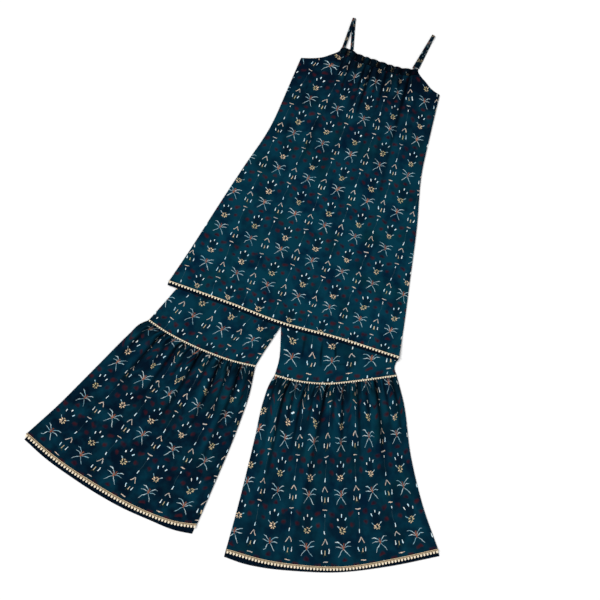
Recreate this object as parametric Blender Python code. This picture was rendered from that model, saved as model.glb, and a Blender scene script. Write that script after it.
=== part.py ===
"""A sharara suit laid out flat: a strappy kameez over flared sharara trousers.

Plan sizes are in millimetres, across from the kameez's centre line and up from the middle of its
hem. Heights are in millimetres above the surface that the suit lies on.
"""

import math
from collections import namedtuple

import bmesh
import bpy
import numpy as np

MM = 0.001

# Cloth and the levels of its layers
WALL = 1.2
GAP = 0.3
BACK_LEVEL = 0.0
FRONT_LEVEL = BACK_LEVEL + WALL + GAP
OVER_TROUSERS = FRONT_LEVEL + WALL + GAP

# Kameez outline, each point (across, up)
KAMEEZ_LEFT = ((-230, 793), (-235, 690), (-244, 561), (-279, 411), (-313, 260), (-344, 115), (-371, 3))
KAMEEZ_RIGHT = ((213, 836), (230, 702), (245, 595), (292, 422), (329, 262), (358, 137), (380, 32))
KAMEEZ_HEM = ((-371, 3), (-172, 6), (0, 5), (164, 21), (380, 32))
KAMEEZ_TOP = (
    (-230, 793), (-198, 804), (-167, 819), (-140, 839), (-122, 848), (-61, 845), (0, 847),
    (60, 850), (100, 858), (128, 869), (150, 862), (185, 843), (213, 836),
)
BACK_HEM_DROP = 10.0

# Gathered strip along the neckline, in fractions of the kameez's top edge
CASING_START = 0.258
CASING_END = 0.796
CASING_STEP = 0.008
CASING_DEEP = 21.5
CASING_LUMPS = 10
CASING_LUMP_HIGH = 2.4
CASING_LUMP_OUT = 1.6
COLUMNS_A_LUMP = 3
BACK_ABOVE_ARMHOLE = 1.0

# Straps: where each leg meets the neckline, across, and where both fold over, (across, up)
Strap = namedtuple("Strap", "side front_foot back_foot fold")
STRAPS = (
    Strap("left", -117, -91, (-118, 966)),
    Strap("right", 106, 124, (131, 1002)),
)
STRAP_WIDE = 10.0
STRAP_THICK = 1.6
STRAP_APART = 0.7
STRAP_STEPS = 5
STRAP_FOLD_STEPS = 6

# Trousers: waist, centre seam and legs, each point (across, up)
WAIST_TOP = ((-172, 266), (-13, 274), (146, 285))
WAISTBAND_DEEP = 40.0
WAISTBAND_STEPS = (6, 1, 6, 1)
CENTRE_SEAM = ((-11, 234), (-7, 120), (3, -6))
SEAM_SHARE = 0.62
THIGH_STEPS = (1, 16, 16, 16)

Leg = namedtuple("Leg", "side outer inner knee flare_left flare_right hem back_hem")
LEFT_LEG = Leg(
    "left",
    outer=((-170, 226), (-262, 125), (-338, -5), (-361, -65), (-387, -132)),
    inner=((3, -6), (-6, -49), (-19, -105), (-28, -150)),
    knee=((-387, -132), (-325, -147), (-269, -155), (-164, -161), (-95, -159), (-28, -150)),
    flare_left=((-387, -132), (-409, -153), (-429, -193), (-487, -321), (-550, -461), (-620, -597)),
    flare_right=((-28, -150), (-15, -236), (-12, -348), (-18, -523), (-26, -678)),
    hem=((-620, -597), (-507, -637), (-357, -672), (-200, -694), (-80, -691), (-26, -678)),
    back_hem=((-619, -614), (-541, -645), (-444, -672), (-350, -693), (-266, -706), (-173, -712),
              (-80, -714), (-30, -706)),
)
RIGHT_LEG = Leg(
    "right",
    outer=((147, 243), (276, 150), (377, 26), (378, -5), (392, -24)),
    inner=((3, -6), (17, -47), (34, -107), (38, -155)),
    knee=((38, -155), (87, -151), (136, -142), (199, -123), (286, -81), (392, -24)),
    flare_left=((38, -155), (32, -190), (33, -242), (49, -364), (72, -559), (88, -718)),
    flare_right=((392, -24), (440, -92), (520, -241), (609, -373), (704, -487)),
    hem=((88, -718), (215, -707), (309, -687), (446, -642), (592, -560), (704, -487)),
    back_hem=((88, -738), (150, -737), (205, -729), (314, -701), (427, -663), (575, -588), (713, -502)),
)
FLARE_LONG = 550.0
FLARE_BACK_STEPS = (18, 8, 18, 8)

# Creases between gathers. place is a fraction of the seam, half is half a crease's width in the
# same fraction, depth is a share of the swell, reach is in mm below the seam and drift is how far
# the crease wanders sideways by the hem
Crease = namedtuple("Crease", "place half depth reach drift")
NECK_CREASES = (
    Crease(0.300, 0.010, 0.8, 70, 0.00),
    Crease(0.350, 0.010, 0.9, 110, -0.01),
    Crease(0.400, 0.010, 0.7, 60, 0.00),
    Crease(0.450, 0.010, 0.9, 90, 0.00),
    Crease(0.495, 0.014, 1.0, 150, -0.02),
    Crease(0.550, 0.010, 0.8, 80, 0.00),
    Crease(0.600, 0.010, 0.9, 120, 0.01),
    Crease(0.650, 0.010, 0.7, 60, 0.00),
    Crease(0.700, 0.010, 0.8, 90, 0.01),
    Crease(0.750, 0.016, 1.0, 420, 0.02),
)
LEFT_CREASES = (
    Crease(0.070, 0.016, 0.8, 150, 0.00),
    Crease(0.188, 0.018, 1.0, 240, -0.02),
    Crease(0.270, 0.014, 0.7, 110, 0.00),
    Crease(0.345, 0.016, 0.9, 200, 0.01),
    Crease(0.435, 0.014, 0.7, 130, 0.00),
    Crease(0.532, 0.020, 1.0, 260, -0.02),
    Crease(0.625, 0.014, 0.7, 120, 0.00),
    Crease(0.709, 0.020, 1.0, 230, 0.01),
    Crease(0.795, 0.014, 0.8, 160, 0.00),
    Crease(0.880, 0.018, 1.0, 420, -0.02),
    Crease(0.955, 0.014, 0.7, 140, 0.00),
)
RIGHT_CREASES = (
    Crease(0.045, 0.014, 0.8, 140, 0.00),
    Crease(0.135, 0.018, 1.0, 330, -0.03),
    Crease(0.205, 0.014, 0.7, 120, -0.05),
    Crease(0.275, 0.016, 0.9, 190, -0.08),
    Crease(0.355, 0.014, 0.7, 120, -0.11),
    Crease(0.440, 0.020, 1.0, 480, -0.14),
    Crease(0.505, 0.014, 0.7, 130, -0.05),
    Crease(0.570, 0.016, 0.9, 210, -0.02),
    Crease(0.680, 0.016, 0.9, 230, 0.00),
    Crease(0.750, 0.014, 0.7, 120, 0.00),
    Crease(0.820, 0.018, 1.0, 260, 0.02),
    Crease(0.890, 0.014, 0.7, 150, 0.00),
    Crease(0.955, 0.016, 0.9, 180, 0.00),
)
DEEP_CREASE = 0.9
CREASE_SIDE = 1.4

# Swell of the gathered cloth between its creases: high at most, flat down to start, whole at
# full, then settling over settle, and level again for hem_flat above the hem
Swell = namedtuple("Swell", "high start full settle hem_flat")
NECK_SWELL = Swell(high=6.0, start=0, full=18, settle=130, hem_flat=300)
FLARE_SWELL = Swell(high=9.0, start=6, full=32, settle=170, hem_flat=60)
LEVEL_OUT = 60.0
SIDE_ROUND = 0.05
NECK_SIDE_START = -0.09
NECK_SIDE_FULL = 0.02
FLARE_ROWS = (0, 6, 18, 34, 62, 110, 180, 270, 380, 490, 550)
KAMEEZ_ROWS = (0, 10, 26, 55, 100, 170, 260, 350, 430, 500, 560, 600, 640, 690, 760, 840)
KAMEEZ_LONG = 840.0

# Lie of the kameez over the trousers: level this far past them, then down to the surface
LIFT_LEVEL = 42.0
LIFT_SLOPE = 34.0

# Gold edging: braid is the band, tooth the length of its teeth, root and tip a tooth's half widths
# as shares of the pitch; a round tooth is widest at this share of its length
Edging = namedtuple("Edging", "braid tooth root tip thick")
NARROW_EDGING = Edging(braid=4.4, tooth=4.8, root=0.30, tip=0.0, thick=1.2)
KAMEEZ_EDGING = Edging(braid=4.6, tooth=5.0, root=0.30, tip=0.0, thick=1.2)
WIDE_EDGING = Edging(braid=5.2, tooth=8.4, root=0.20, tip=0.34, thick=1.4)
TOOTH_WIDEST = 0.62
EDGE_STEP = 0.002
KAMEEZ_TEETH = 70
KNEE_TEETH = {"left": 36, "right": 39}
HEM_TEETH = {"left": 60, "right": 66}

# Finishes: colour, roughness, metallic
PRINTED = ((0.006, 0.031, 0.052, 1.0), 0.85, 0.0)
PLAIN_SIDE = ((0.004, 0.012, 0.026, 1.0), 0.85, 0.0)
GOLD = ((0.66, 0.52, 0.33, 1.0), 0.45, 0.3)


def clear_scene():
    for thing in list(bpy.data.objects):
        bpy.data.objects.remove(thing, do_unlink=True)


def finish(name, look):
    material = bpy.data.materials.new(name)
    material.use_nodes = True
    shader = material.node_tree.nodes["Principled BSDF"]
    colour, roughness, metallic = look
    shader.inputs["Base Color"].default_value = colour
    shader.inputs["Roughness"].default_value = roughness
    shader.inputs["Metallic"].default_value = metallic
    material.diffuse_color = colour
    return material


def ramp(value, low, high):
    """0 up to low, 1 from high on, and a soft rise between."""
    share = min(max((value - low) / (high - low), 0.0), 1.0)
    return share * share * (3 - 2 * share)


def curve(points):
    """A function of t, 0 to 1 by length, that runs smoothly through the points."""
    points = np.array(points, float)
    at = np.concatenate(([0.0], np.cumsum(np.hypot(*np.diff(points, axis=0).T))))
    at /= at[-1]
    slopes = np.gradient(points, at, axis=0)

    def place(t):
        i = int(np.clip(np.searchsorted(at, t) - 1, 0, len(at) - 2))
        step = at[i + 1] - at[i]
        s = (t - at[i]) / step
        start = (1 + 2 * s) * (1 - s) ** 2 * points[i] + s * (1 - s) ** 2 * step * slopes[i]
        end = s * s * (3 - 2 * s) * points[i + 1] + s * s * (s - 1) * step * slopes[i + 1]
        return start + end

    return place


def moved(edge, across, up):
    """The same edge, moved on the table."""
    return lambda t: edge(t) + np.array((across, up))


def joined(first, second, share):
    """Two edges end to end; the first takes this share of t."""
    return lambda t: first(t / share) if t < share else second((t - share) / (1 - share))


def panel(top, bottom, left, right):
    """A panel's shape on the table: u from left to right, v from its top edge to its hem."""
    corners = [[top(0), top(1)], [bottom(0), bottom(1)]]

    def place(u, v):
        along = (1 - v) * top(u) + v * bottom(u) + (1 - u) * left(v) + u * right(v)
        upper = (1 - u) * corners[0][0] + u * corners[0][1]
        lower = (1 - u) * corners[1][0] + u * corners[1][1]
        return along - (1 - v) * upper - v * lower

    return place


def columns_for(creases):
    """Where a gathered panel's columns start: on each crease, beside the deep ones, and between."""
    places = [0.0]
    for crease in creases:
        beside = crease.half * CREASE_SIDE if crease.depth >= DEEP_CREASE else 0.0
        places.append((places[-1] + crease.place - beside) / 2)
        if beside:
            places += [crease.place - beside, crease.place, crease.place + beside]
        else:
            places.append(crease.place)
    places += [(places[-1] + 1) / 2, 1.0]
    return places


def follow(column, v, creases):
    """The fraction across at which a column lies, v of the way down, as its creases wander."""
    starts = [0.0] + [crease.place for crease in creases] + [1.0]
    lies = [0.0] + [crease.place + crease.drift * v for crease in creases] + [1.0]
    return float(np.interp(column, starts, lies))


def swell_height(column, down, creases, swell, long):
    """Height of gathered cloth: rounded swells parted by creases, dying away down the panel."""
    high = swell.high * ramp(down, swell.start, swell.full) * math.exp(-down / swell.settle)
    high *= 1 - ramp(down, long - swell.hem_flat - LEVEL_OUT, long - swell.hem_flat)
    high *= ramp(min(column, 1 - column), 0, SIDE_ROUND)
    sunk = max(
        crease.depth
        * math.exp(-(((column - crease.place) / crease.half) ** 2))
        * (1 - ramp(down, crease.reach / 2, crease.reach))
        for crease in creases
    )
    return high * (1 - sunk)


def grid(shape, columns, rows, long, creases, level):
    """Rows of a panel's points, each (across, up, height), with its underside's height from level."""
    points = []
    for down in rows:
        v = down / long
        plan = [shape(follow(column, v, creases), v) for column in columns]
        points.append([(x, y, level(column, down, x, y)) for column, (x, y) in zip(columns, plan)])
    return np.array(points)


def add_object(name, vertices, faces, material, base):
    mesh = bpy.data.meshes.new(name)
    mesh.from_pydata([tuple(float(c) * MM for c in vertex) for vertex in vertices], [], faces)
    shaped = bmesh.new()
    shaped.from_mesh(mesh)
    bmesh.ops.recalc_face_normals(shaped, faces=shaped.faces)
    shaped.to_mesh(mesh)
    shaped.free()
    mesh.materials.append(material)
    thing = bpy.data.objects.new(name, mesh)
    thing.parent = base
    bpy.context.scene.collection.objects.link(thing)
    return thing


def add_wall(name, under, thick, material, base):
    """A cloth wall over a grid of its underside's points."""
    rows, columns, _ = under.shape
    over = under + np.array((0, 0, thick))
    count = rows * columns
    vertices = np.concatenate((under.reshape(-1, 3), over.reshape(-1, 3)))
    faces = []
    for i in range(rows - 1):
        for j in range(columns - 1):
            a = i * columns + j
            b, c, d = a + 1, a + columns + 1, a + columns
            faces += [(a, b, c), (a, c, d)]
            faces += [(count + a, count + c, count + b), (count + a, count + d, count + c)]
    rim = list(range(columns))
    rim += [i * columns + columns - 1 for i in range(1, rows)]
    rim += [(rows - 1) * columns + j for j in range(columns - 2, -1, -1)]
    rim += [i * columns for i in range(rows - 2, 0, -1)]
    for a, b in zip(rim, rim[1:] + rim[:1]):
        faces.append((a, b, count + b, count + a))
    return add_object(name, vertices, faces, material, base)


def add_plate(name, outline, level, thick, material, base):
    """A flat cloth wall inside an outline."""
    count = len(outline)
    vertices = [(x, y, level) for x, y in outline] + [(x, y, level + thick) for x, y in outline]
    faces = [tuple(range(count)), tuple(range(2 * count - 1, count - 1, -1))]
    faces += [(i, (i + 1) % count, count + (i + 1) % count, count + i) for i in range(count)]
    return add_object(name, vertices, faces, material, base)


def outline_of(top, right, bottom, left, steps):
    """A panel's outline, each edge in its number of steps: top, right, bottom, left."""
    points = [top(i / steps[0]) for i in range(steps[0])]
    points += [right(i / steps[1]) for i in range(steps[1])]
    points += [bottom(1 - i / steps[2]) for i in range(steps[2])]
    points += [left(1 - i / steps[3]) for i in range(steps[3])]
    return points


def add_edging(name, edge, edging, teeth, level, material, base):
    """A band of braid inside an edge, with a row of teeth past it; one cell of faces for each tooth."""
    def beside(t, out):
        ahead = edge(min(t + EDGE_STEP, 1.0)) - edge(max(t - EDGE_STEP, 0.0))
        ahead /= np.hypot(*ahead)
        return edge(t) + out * np.array((ahead[1], -ahead[0]))

    inner = [beside(i / teeth, -edging.braid) for i in range(teeth + 1)]
    plan = list(inner)
    cells = []
    for i in range(teeth):
        first = len(plan)
        middle = (i + 0.5) / teeth
        plan.append(beside(middle - edging.root / teeth, 0))
        plan.append(beside(middle + edging.root / teeth, 0))
        if edging.tip:
            plan.append(beside(middle + edging.tip / teeth, edging.tooth * TOOTH_WIDEST))
            plan.append(beside(middle, edging.tooth))
            plan.append(beside(middle - edging.tip / teeth, edging.tooth * TOOTH_WIDEST))
        else:
            plan.append(beside(middle, edging.tooth))
        tooth = tuple(range(len(plan) - 1, first - 1, -1))
        cells += [(i, first, first + 1, i + 1), tooth]
        if i < teeth - 1:
            cells.append((i + 1, first + 1, len(plan)))
    count = len(plan)
    vertices = [(x, y, level) for x, y in plan] + [(x, y, level + edging.thick) for x, y in plan]
    sides = set()
    for cell in cells:
        for a, b in zip(cell, cell[1:] + cell[:1]):
            if (b, a) in sides:
                sides.remove((b, a))
            else:
                sides.add((a, b))
    faces = list(cells) + [tuple(count + i for i in reversed(cell)) for cell in cells]
    faces += [(b, a, count + a, count + b) for a, b in sorted(sides)]
    return add_object(name, vertices, faces, material, base)


def trouser_side(x, y):
    """How far a point lies outside the part of the trousers that the kameez covers, in mm."""
    waist_left, waist_right = np.array(WAIST_TOP[0]), np.array(WAIST_TOP[-1])
    left_hip, right_hip = np.array(LEFT_LEG.outer[2]), np.array(RIGHT_LEG.outer[2])
    out = []
    for start, end in ((waist_left, waist_right), (waist_right, right_hip), (left_hip, waist_left)):
        ahead = (end - start) / np.hypot(*(end - start))
        out.append(ahead[0] * (y - start[1]) - ahead[1] * (x - start[0]))
    return max(out)


def lift(x, y):
    """Height of the kameez's underside: over the trousers, and down to the surface past them."""
    return OVER_TROUSERS * (1 - ramp(trouser_side(x, y), LIFT_LEVEL, LIFT_LEVEL + LIFT_SLOPE))


def add_kameez(printed, plain, gold, base):
    top, hem = curve(KAMEEZ_TOP), curve(KAMEEZ_HEM)
    shape = panel(top, hem, curve(KAMEEZ_LEFT), curve(KAMEEZ_RIGHT))
    columns = columns_for(NECK_CREASES)
    beside = [0.0, 0.05, 0.1, 0.15, 0.2, CASING_START - CASING_STEP, CASING_START]
    beside += [CASING_END, CASING_END + CASING_STEP, 0.84, 0.89, 0.945, 1.0]
    columns = sorted(columns[2:-2] + beside)

    def back_level(column, down, x, y):
        return lift(x, y)

    def front_level(column, down, x, y):
        inside = ramp(min(column - CASING_START, CASING_END - column), NECK_SIDE_START, NECK_SIDE_FULL)
        return lift(x, y) + WALL + GAP + inside * swell_height(
            column, down, NECK_CREASES, NECK_SWELL, KAMEEZ_LONG
        )

    front = grid(shape, columns, KAMEEZ_ROWS, KAMEEZ_LONG, NECK_CREASES, front_level)
    back = grid(shape, columns, KAMEEZ_ROWS, KAMEEZ_LONG, NECK_CREASES, back_level)
    neckline = back[0].copy()
    for column, point in zip(columns, neckline):
        point[1] += CASING_DEEP if CASING_START <= column <= CASING_END else BACK_ABOVE_ARMHOLE
    below_hem = back[-1] - np.array((0, BACK_HEM_DROP, 0))
    back = np.concatenate((neckline[None], back, below_hem[None]))
    add_wall("kameez_front", front, WALL, printed, base)
    add_wall("kameez_back", back, WALL, plain, base)
    casing_top = add_casing(top, printed, base)
    add_edging(
        "kameez_hem_trim", hem, KAMEEZ_EDGING, KAMEEZ_TEETH,
        OVER_TROUSERS + 2 * (WALL + GAP), gold, base,
    )
    for strap in STRAPS:
        add_strap(strap, casing_top, neckline, printed, base)


def add_casing(seam, printed, base):
    """The strip that the neckline is gathered into: a row of rounded lumps."""
    across = CASING_LUMPS * COLUMNS_A_LUMP
    under = []
    for row, round_off in ((0.0, 0.6), (0.5, 1.0), (1.0, 0.6)):
        line = []
        for i in range(across + 1):
            share = i / across
            x, y = seam(CASING_START + (CASING_END - CASING_START) * share)
            lump = abs(math.sin(math.pi * share * CASING_LUMPS))
            rise = CASING_LUMP_HIGH * lump * round_off
            deep = GAP + (CASING_DEEP - GAP + CASING_LUMP_OUT * lump) * row
            line.append((x, y + deep, FRONT_LEVEL + rise))
        under.append(line)
    add_wall("neck_casing", np.array(under), WALL, printed, base)
    return np.array(under[-1])


def seat(edge, across, fold):
    """Where a strap's leg starts: a seam's gap above the highest point of the edge under its end."""
    reach = np.linspace(across - STRAP_WIDE / 2, across + STRAP_WIDE / 2, 9)
    up = max(np.interp(reach, edge[:, 0], edge[:, 1]))
    tilt = abs(fold[0] - across) / math.hypot(fold[0] - across, fold[1] - up)
    return np.array((across, up + GAP + tilt * STRAP_WIDE / 2))


def add_strap(strap, front_edge, back_edge, material, base):
    """A strap that climbs from the front neckline, folds over at the shoulder and comes back down."""
    low = BACK_LEVEL + STRAP_THICK / 2
    high = BACK_LEVEL + WALL + STRAP_APART + STRAP_THICK / 2
    turn = (high - low) / 2
    fold = np.array(strap.fold, float)
    front, back = seat(front_edge, strap.front_foot, fold), seat(back_edge, strap.back_foot, fold)
    up_front = (fold - front) / np.hypot(*(fold - front))
    up_back = (fold - back) / np.hypot(*(fold - back))
    path = []
    for i in range(STRAP_STEPS):
        path.append((*(front + (fold - front) * i / STRAP_STEPS), high, up_front, (0, 0, 1)))
    for i in range(STRAP_FOLD_STEPS + 1):
        share = i / STRAP_FOLD_STEPS
        angle = math.pi * share
        ahead = up_front * (1 - share) + up_back * share
        ahead /= np.hypot(*ahead)
        x, y = fold + ahead * turn * math.sin(angle)
        face = (*(ahead * math.sin(angle)), math.cos(angle))
        path.append((x, y, low + turn * (1 + math.cos(angle)), ahead, face))
    for i in range(STRAP_STEPS - 1, -1, -1):
        path.append((*(back + (fold - back) * i / STRAP_STEPS), low, up_back, (0, 0, -1)))
    vertices = []
    for x, y, z, ahead, face in path:
        aside = np.array((ahead[1], -ahead[0], 0)) * STRAP_WIDE / 2
        out = np.array(face) * STRAP_THICK / 2
        centre = np.array((x, y, z))
        vertices += [centre - aside - out, centre + aside - out]
        vertices += [centre + aside + out, centre - aside + out]
    faces = [(0, 1, 2, 3), tuple(len(vertices) - 4 + i for i in (3, 2, 1, 0))]
    for ring in range(0, len(vertices) - 4, 4):
        for i in range(4):
            following = (i + 1) % 4
            faces.append((ring + i, ring + 4 + i, ring + 4 + following, ring + following))
    add_object("strap_" + strap.side, vertices, faces, material, base)


def add_trouser_top(leg, printed, plain, base):
    """One leg's upper front and back, from the waistband to the knee seam."""
    seam_side = -GAP / 2 if leg.side == "left" else GAP / 2
    seam = moved(curve(CENTRE_SEAM), seam_side, 0)
    middle = joined(seam, moved(curve(leg.inner), seam_side, 0), SEAM_SHARE)
    outer = curve(leg.outer)
    left, right = (outer, middle) if leg.side == "left" else (middle, outer)
    waist = curve((left(0), right(0)))
    knee = moved(curve(leg.knee), 0, GAP / 2)
    outline = outline_of(waist, right, knee, left, THIGH_STEPS)
    add_plate("thigh_back_" + leg.side, outline, BACK_LEVEL, WALL, plain, base)
    add_plate("thigh_front_" + leg.side, outline, FRONT_LEVEL, WALL, printed, base)


def add_flare(leg, creases, printed, plain, gold, base):
    """One leg's gathered flare, front and back, and the edgings on its seam and hem."""
    knee = curve(leg.knee)
    top, hem, left, right = (
        moved(curve(edge), 0, -GAP / 2) for edge in (leg.knee, leg.hem, leg.flare_left, leg.flare_right)
    )

    def level(column, down, x, y):
        return FRONT_LEVEL + swell_height(column, down, creases, FLARE_SWELL, FLARE_LONG)

    shape = panel(top, hem, left, right)
    front = grid(shape, columns_for(creases), FLARE_ROWS, FLARE_LONG, creases, level)
    add_wall("flare_front_" + leg.side, front, WALL, printed, base)
    back_hem = curve(leg.back_hem)
    back_left = curve((top(0), *leg.flare_left[1:-1], leg.back_hem[0]))
    back_right = curve((top(1), *leg.flare_right[1:-1], leg.back_hem[-1]))
    outline = outline_of(top, back_right, back_hem, back_left, FLARE_BACK_STEPS)
    add_plate("flare_back_" + leg.side, outline, BACK_LEVEL, WALL, plain, base)
    add_edging(
        "knee_trim_" + leg.side, knee, NARROW_EDGING, KNEE_TEETH[leg.side],
        FRONT_LEVEL + WALL + GAP, gold, base,
    )
    add_edging(
        "flare_hem_trim_" + leg.side, hem, WIDE_EDGING, HEM_TEETH[leg.side],
        FRONT_LEVEL + WALL + GAP, gold, base,
    )


def add_waistband(printed, plain, base):
    top = curve(WAIST_TOP)
    low = moved(top, 0, GAP - WAISTBAND_DEEP)
    left, right = curve((top(0), low(0))), curve((top(1), low(1)))
    outline = outline_of(top, right, low, left, WAISTBAND_STEPS)
    add_plate("waistband_back", outline, BACK_LEVEL, WALL, plain, base)
    add_plate("waistband_front", outline, FRONT_LEVEL, WALL, printed, base)


def centre(base):
    """Move the suit so that the middle of its box is over the origin."""
    spots = np.array([vertex.co for thing in base.children for vertex in thing.data.vertices])
    middle = (spots.min(axis=0) + spots.max(axis=0)) / 2
    base.location = (-middle[0], -middle[1], -spots[:, 2].min())


def main():
    clear_scene()
    printed = finish("printed_cloth", PRINTED)
    plain = finish("cloth_wrong_side", PLAIN_SIDE)
    gold = finish("gold_edging", GOLD)
    base = bpy.data.objects.new("suit", None)
    bpy.context.scene.collection.objects.link(base)
    add_waistband(printed, plain, base)
    for leg, creases in ((LEFT_LEG, LEFT_CREASES), (RIGHT_LEG, RIGHT_CREASES)):
        add_trouser_top(leg, printed, plain, base)
        add_flare(leg, creases, printed, plain, gold, base)
    add_kameez(printed, plain, gold, base)
    centre(base)


main()
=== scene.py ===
"""Looks of a sharara suit laid out flat: fine cloth shells, the printed repeat and the gold edgings.

Plan sizes are in millimetres, across from the kameez's centre line and up from the middle of its
hem. Heights are in millimetres above the surface that the suit lies on.
"""

import math
from collections import namedtuple

import bpy
import numpy as np
from mathutils import Matrix, Vector


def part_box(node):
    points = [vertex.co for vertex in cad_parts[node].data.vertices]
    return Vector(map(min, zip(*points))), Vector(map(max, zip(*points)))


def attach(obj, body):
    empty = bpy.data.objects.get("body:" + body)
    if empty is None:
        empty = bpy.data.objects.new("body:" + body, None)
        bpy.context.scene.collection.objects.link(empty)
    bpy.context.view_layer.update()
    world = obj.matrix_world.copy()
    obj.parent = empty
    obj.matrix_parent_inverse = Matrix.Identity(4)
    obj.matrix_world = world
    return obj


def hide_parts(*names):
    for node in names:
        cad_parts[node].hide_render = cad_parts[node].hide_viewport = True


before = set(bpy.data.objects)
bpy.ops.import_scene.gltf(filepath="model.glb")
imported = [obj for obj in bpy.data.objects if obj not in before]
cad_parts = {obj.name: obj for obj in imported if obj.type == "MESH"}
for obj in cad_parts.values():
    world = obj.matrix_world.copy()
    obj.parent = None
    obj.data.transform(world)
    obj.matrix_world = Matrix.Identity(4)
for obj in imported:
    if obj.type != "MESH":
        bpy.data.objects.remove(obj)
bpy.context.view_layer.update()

MM = 0.001

# Cloth and the levels of its layers
WALL = 1.2
GAP = 0.3
BACK_LEVEL = 0.0
FRONT_LEVEL = BACK_LEVEL + WALL + GAP
OVER_TROUSERS = FRONT_LEVEL + WALL + GAP

# Kameez outline, each point (across, up)
KAMEEZ_LEFT = ((-230, 793), (-235, 690), (-244, 561), (-279, 411), (-313, 260), (-344, 115), (-371, 3))
KAMEEZ_RIGHT = ((213, 836), (230, 702), (245, 595), (292, 422), (329, 262), (358, 137), (380, 32))
KAMEEZ_HEM = ((-371, 3), (-172, 6), (0, 5), (164, 21), (380, 32))
KAMEEZ_TOP = (
    (-230, 793), (-198, 804), (-167, 819), (-140, 839), (-122, 848), (-61, 845), (0, 847),
    (60, 850), (100, 858), (128, 869), (150, 862), (185, 843), (213, 836),
)
KAMEEZ_CUT_WIDE = 600.0
KAMEEZ_LONG = 840.0
# How far the back hangs below the front's hem, and the rows of points in each strip it adds
BACK_HEM_DROP = 13.0
BACK_ROWS = 5

# Gathered strip along the neckline: its ends as fractions of the kameez's top edge, its depth, its
# rounded lumps, its fine wrinkles, and how far its ends are lower
CASING_START = 0.258
CASING_END = 0.796
CASING_DEEP = 21.5
CASING_ROWS = 14
CASING_LUMPS = 10
CASING_LUMP_POINTS = 18
CASING_LUMP_SHAPE = 0.75
CASING_LUMP_MEAN = 0.4
CASING_LUMP_EDGE = 0.55
CASING_LUMP_HIGH = 2.4
CASING_LUMP_OUT = 3.4
CASING_UNEVEN = 0.012
CASING_UNEVEN_WAVES = 3
CASING_END_DROP = 0.45
CASING_END_RUN = 0.10
CASING_GATHER = 2.1
CASING_EDGE_ROUND = 1.6
# Painted shade in the valleys between the strip's lumps
CASING_VALLEY_PAINTED_SHADE = 1.2
WRINKLE_HIGH = 0.35
WRINKLES_A_LUMP = 5
WRINKLE_LEAN = 2.0
# The back's top edge: this far above the armholes, rising more right beside the strip
BACK_ABOVE_ARMHOLE = 1.0
ARMHOLE_RISE = 11.0
ARMHOLE_RUN = 9.0

# Straps: where each leg meets the neckline, across, and where both fold over, (across, up)
Strap = namedtuple("Strap", "side front_foot back_foot fold")
STRAPS = (
    Strap("left", -117, -91, (-118, 966)),
    Strap("right", 109, 120, (131, 1002)),
)
STRAP_WIDE = 10.0
STRAP_THICK = 1.6
STRAP_APART = 0.7
STRAP_PRINT_SQUEEZE = 1.4
STRAP_PRINT_ASIDE = 3.0
STRAP_PRINT_RUN = 1.3
STRAP_LEG_POINTS = 40
STRAP_TURN_POINTS = 13
STRAP_SEAT_POINTS = 9

# Trousers: waist, centre seam and legs, each point (across, up)
WAIST_TOP = ((-172, 266), (-13, 274), (146, 285))
WAISTBAND_WIDE = 320.0
WAISTBAND_DEEP = 40.0
THIGH_CUT = 380.0
CENTRE_SEAM = ((-11, 234), (-7, 120), (3, -6))
SEAM_SHARE = 0.62

Leg = namedtuple("Leg", "side outer inner knee flare_left flare_right hem back_hem")
LEFT_LEG = Leg(
    "left",
    outer=((-170, 226), (-262, 125), (-338, -5), (-361, -65), (-387, -132)),
    inner=((3, -6), (-6, -49), (-19, -105), (-28, -150)),
    knee=((-387, -132), (-325, -147), (-269, -155), (-164, -161), (-95, -159), (-28, -150)),
    flare_left=((-387, -132), (-409, -153), (-429, -193), (-487, -321), (-550, -461), (-620, -597)),
    flare_right=((-28, -150), (-15, -236), (-12, -348), (-18, -523), (-26, -678)),
    hem=((-620, -597), (-507, -637), (-357, -672), (-200, -694), (-80, -691), (-26, -678)),
    back_hem=((-619, -614), (-541, -645), (-444, -672), (-350, -693), (-266, -706), (-173, -712),
              (-80, -714), (-30, -706)),
)
RIGHT_LEG = Leg(
    "right",
    outer=((147, 243), (276, 150), (377, 26), (378, -5), (392, -24)),
    inner=((3, -6), (17, -47), (34, -107), (38, -155)),
    knee=((38, -155), (87, -151), (136, -142), (199, -123), (286, -81), (392, -24)),
    flare_left=((38, -155), (32, -190), (33, -242), (49, -364), (72, -559), (88, -718)),
    flare_right=((392, -24), (440, -92), (520, -241), (609, -373), (704, -487)),
    hem=((88, -718), (215, -707), (309, -687), (446, -642), (592, -560), (704, -487)),
    back_hem=((88, -738), (150, -737), (205, -729), (314, -701), (427, -663), (575, -588), (713, -502)),
)
FLARE_LONG = 550.0

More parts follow.
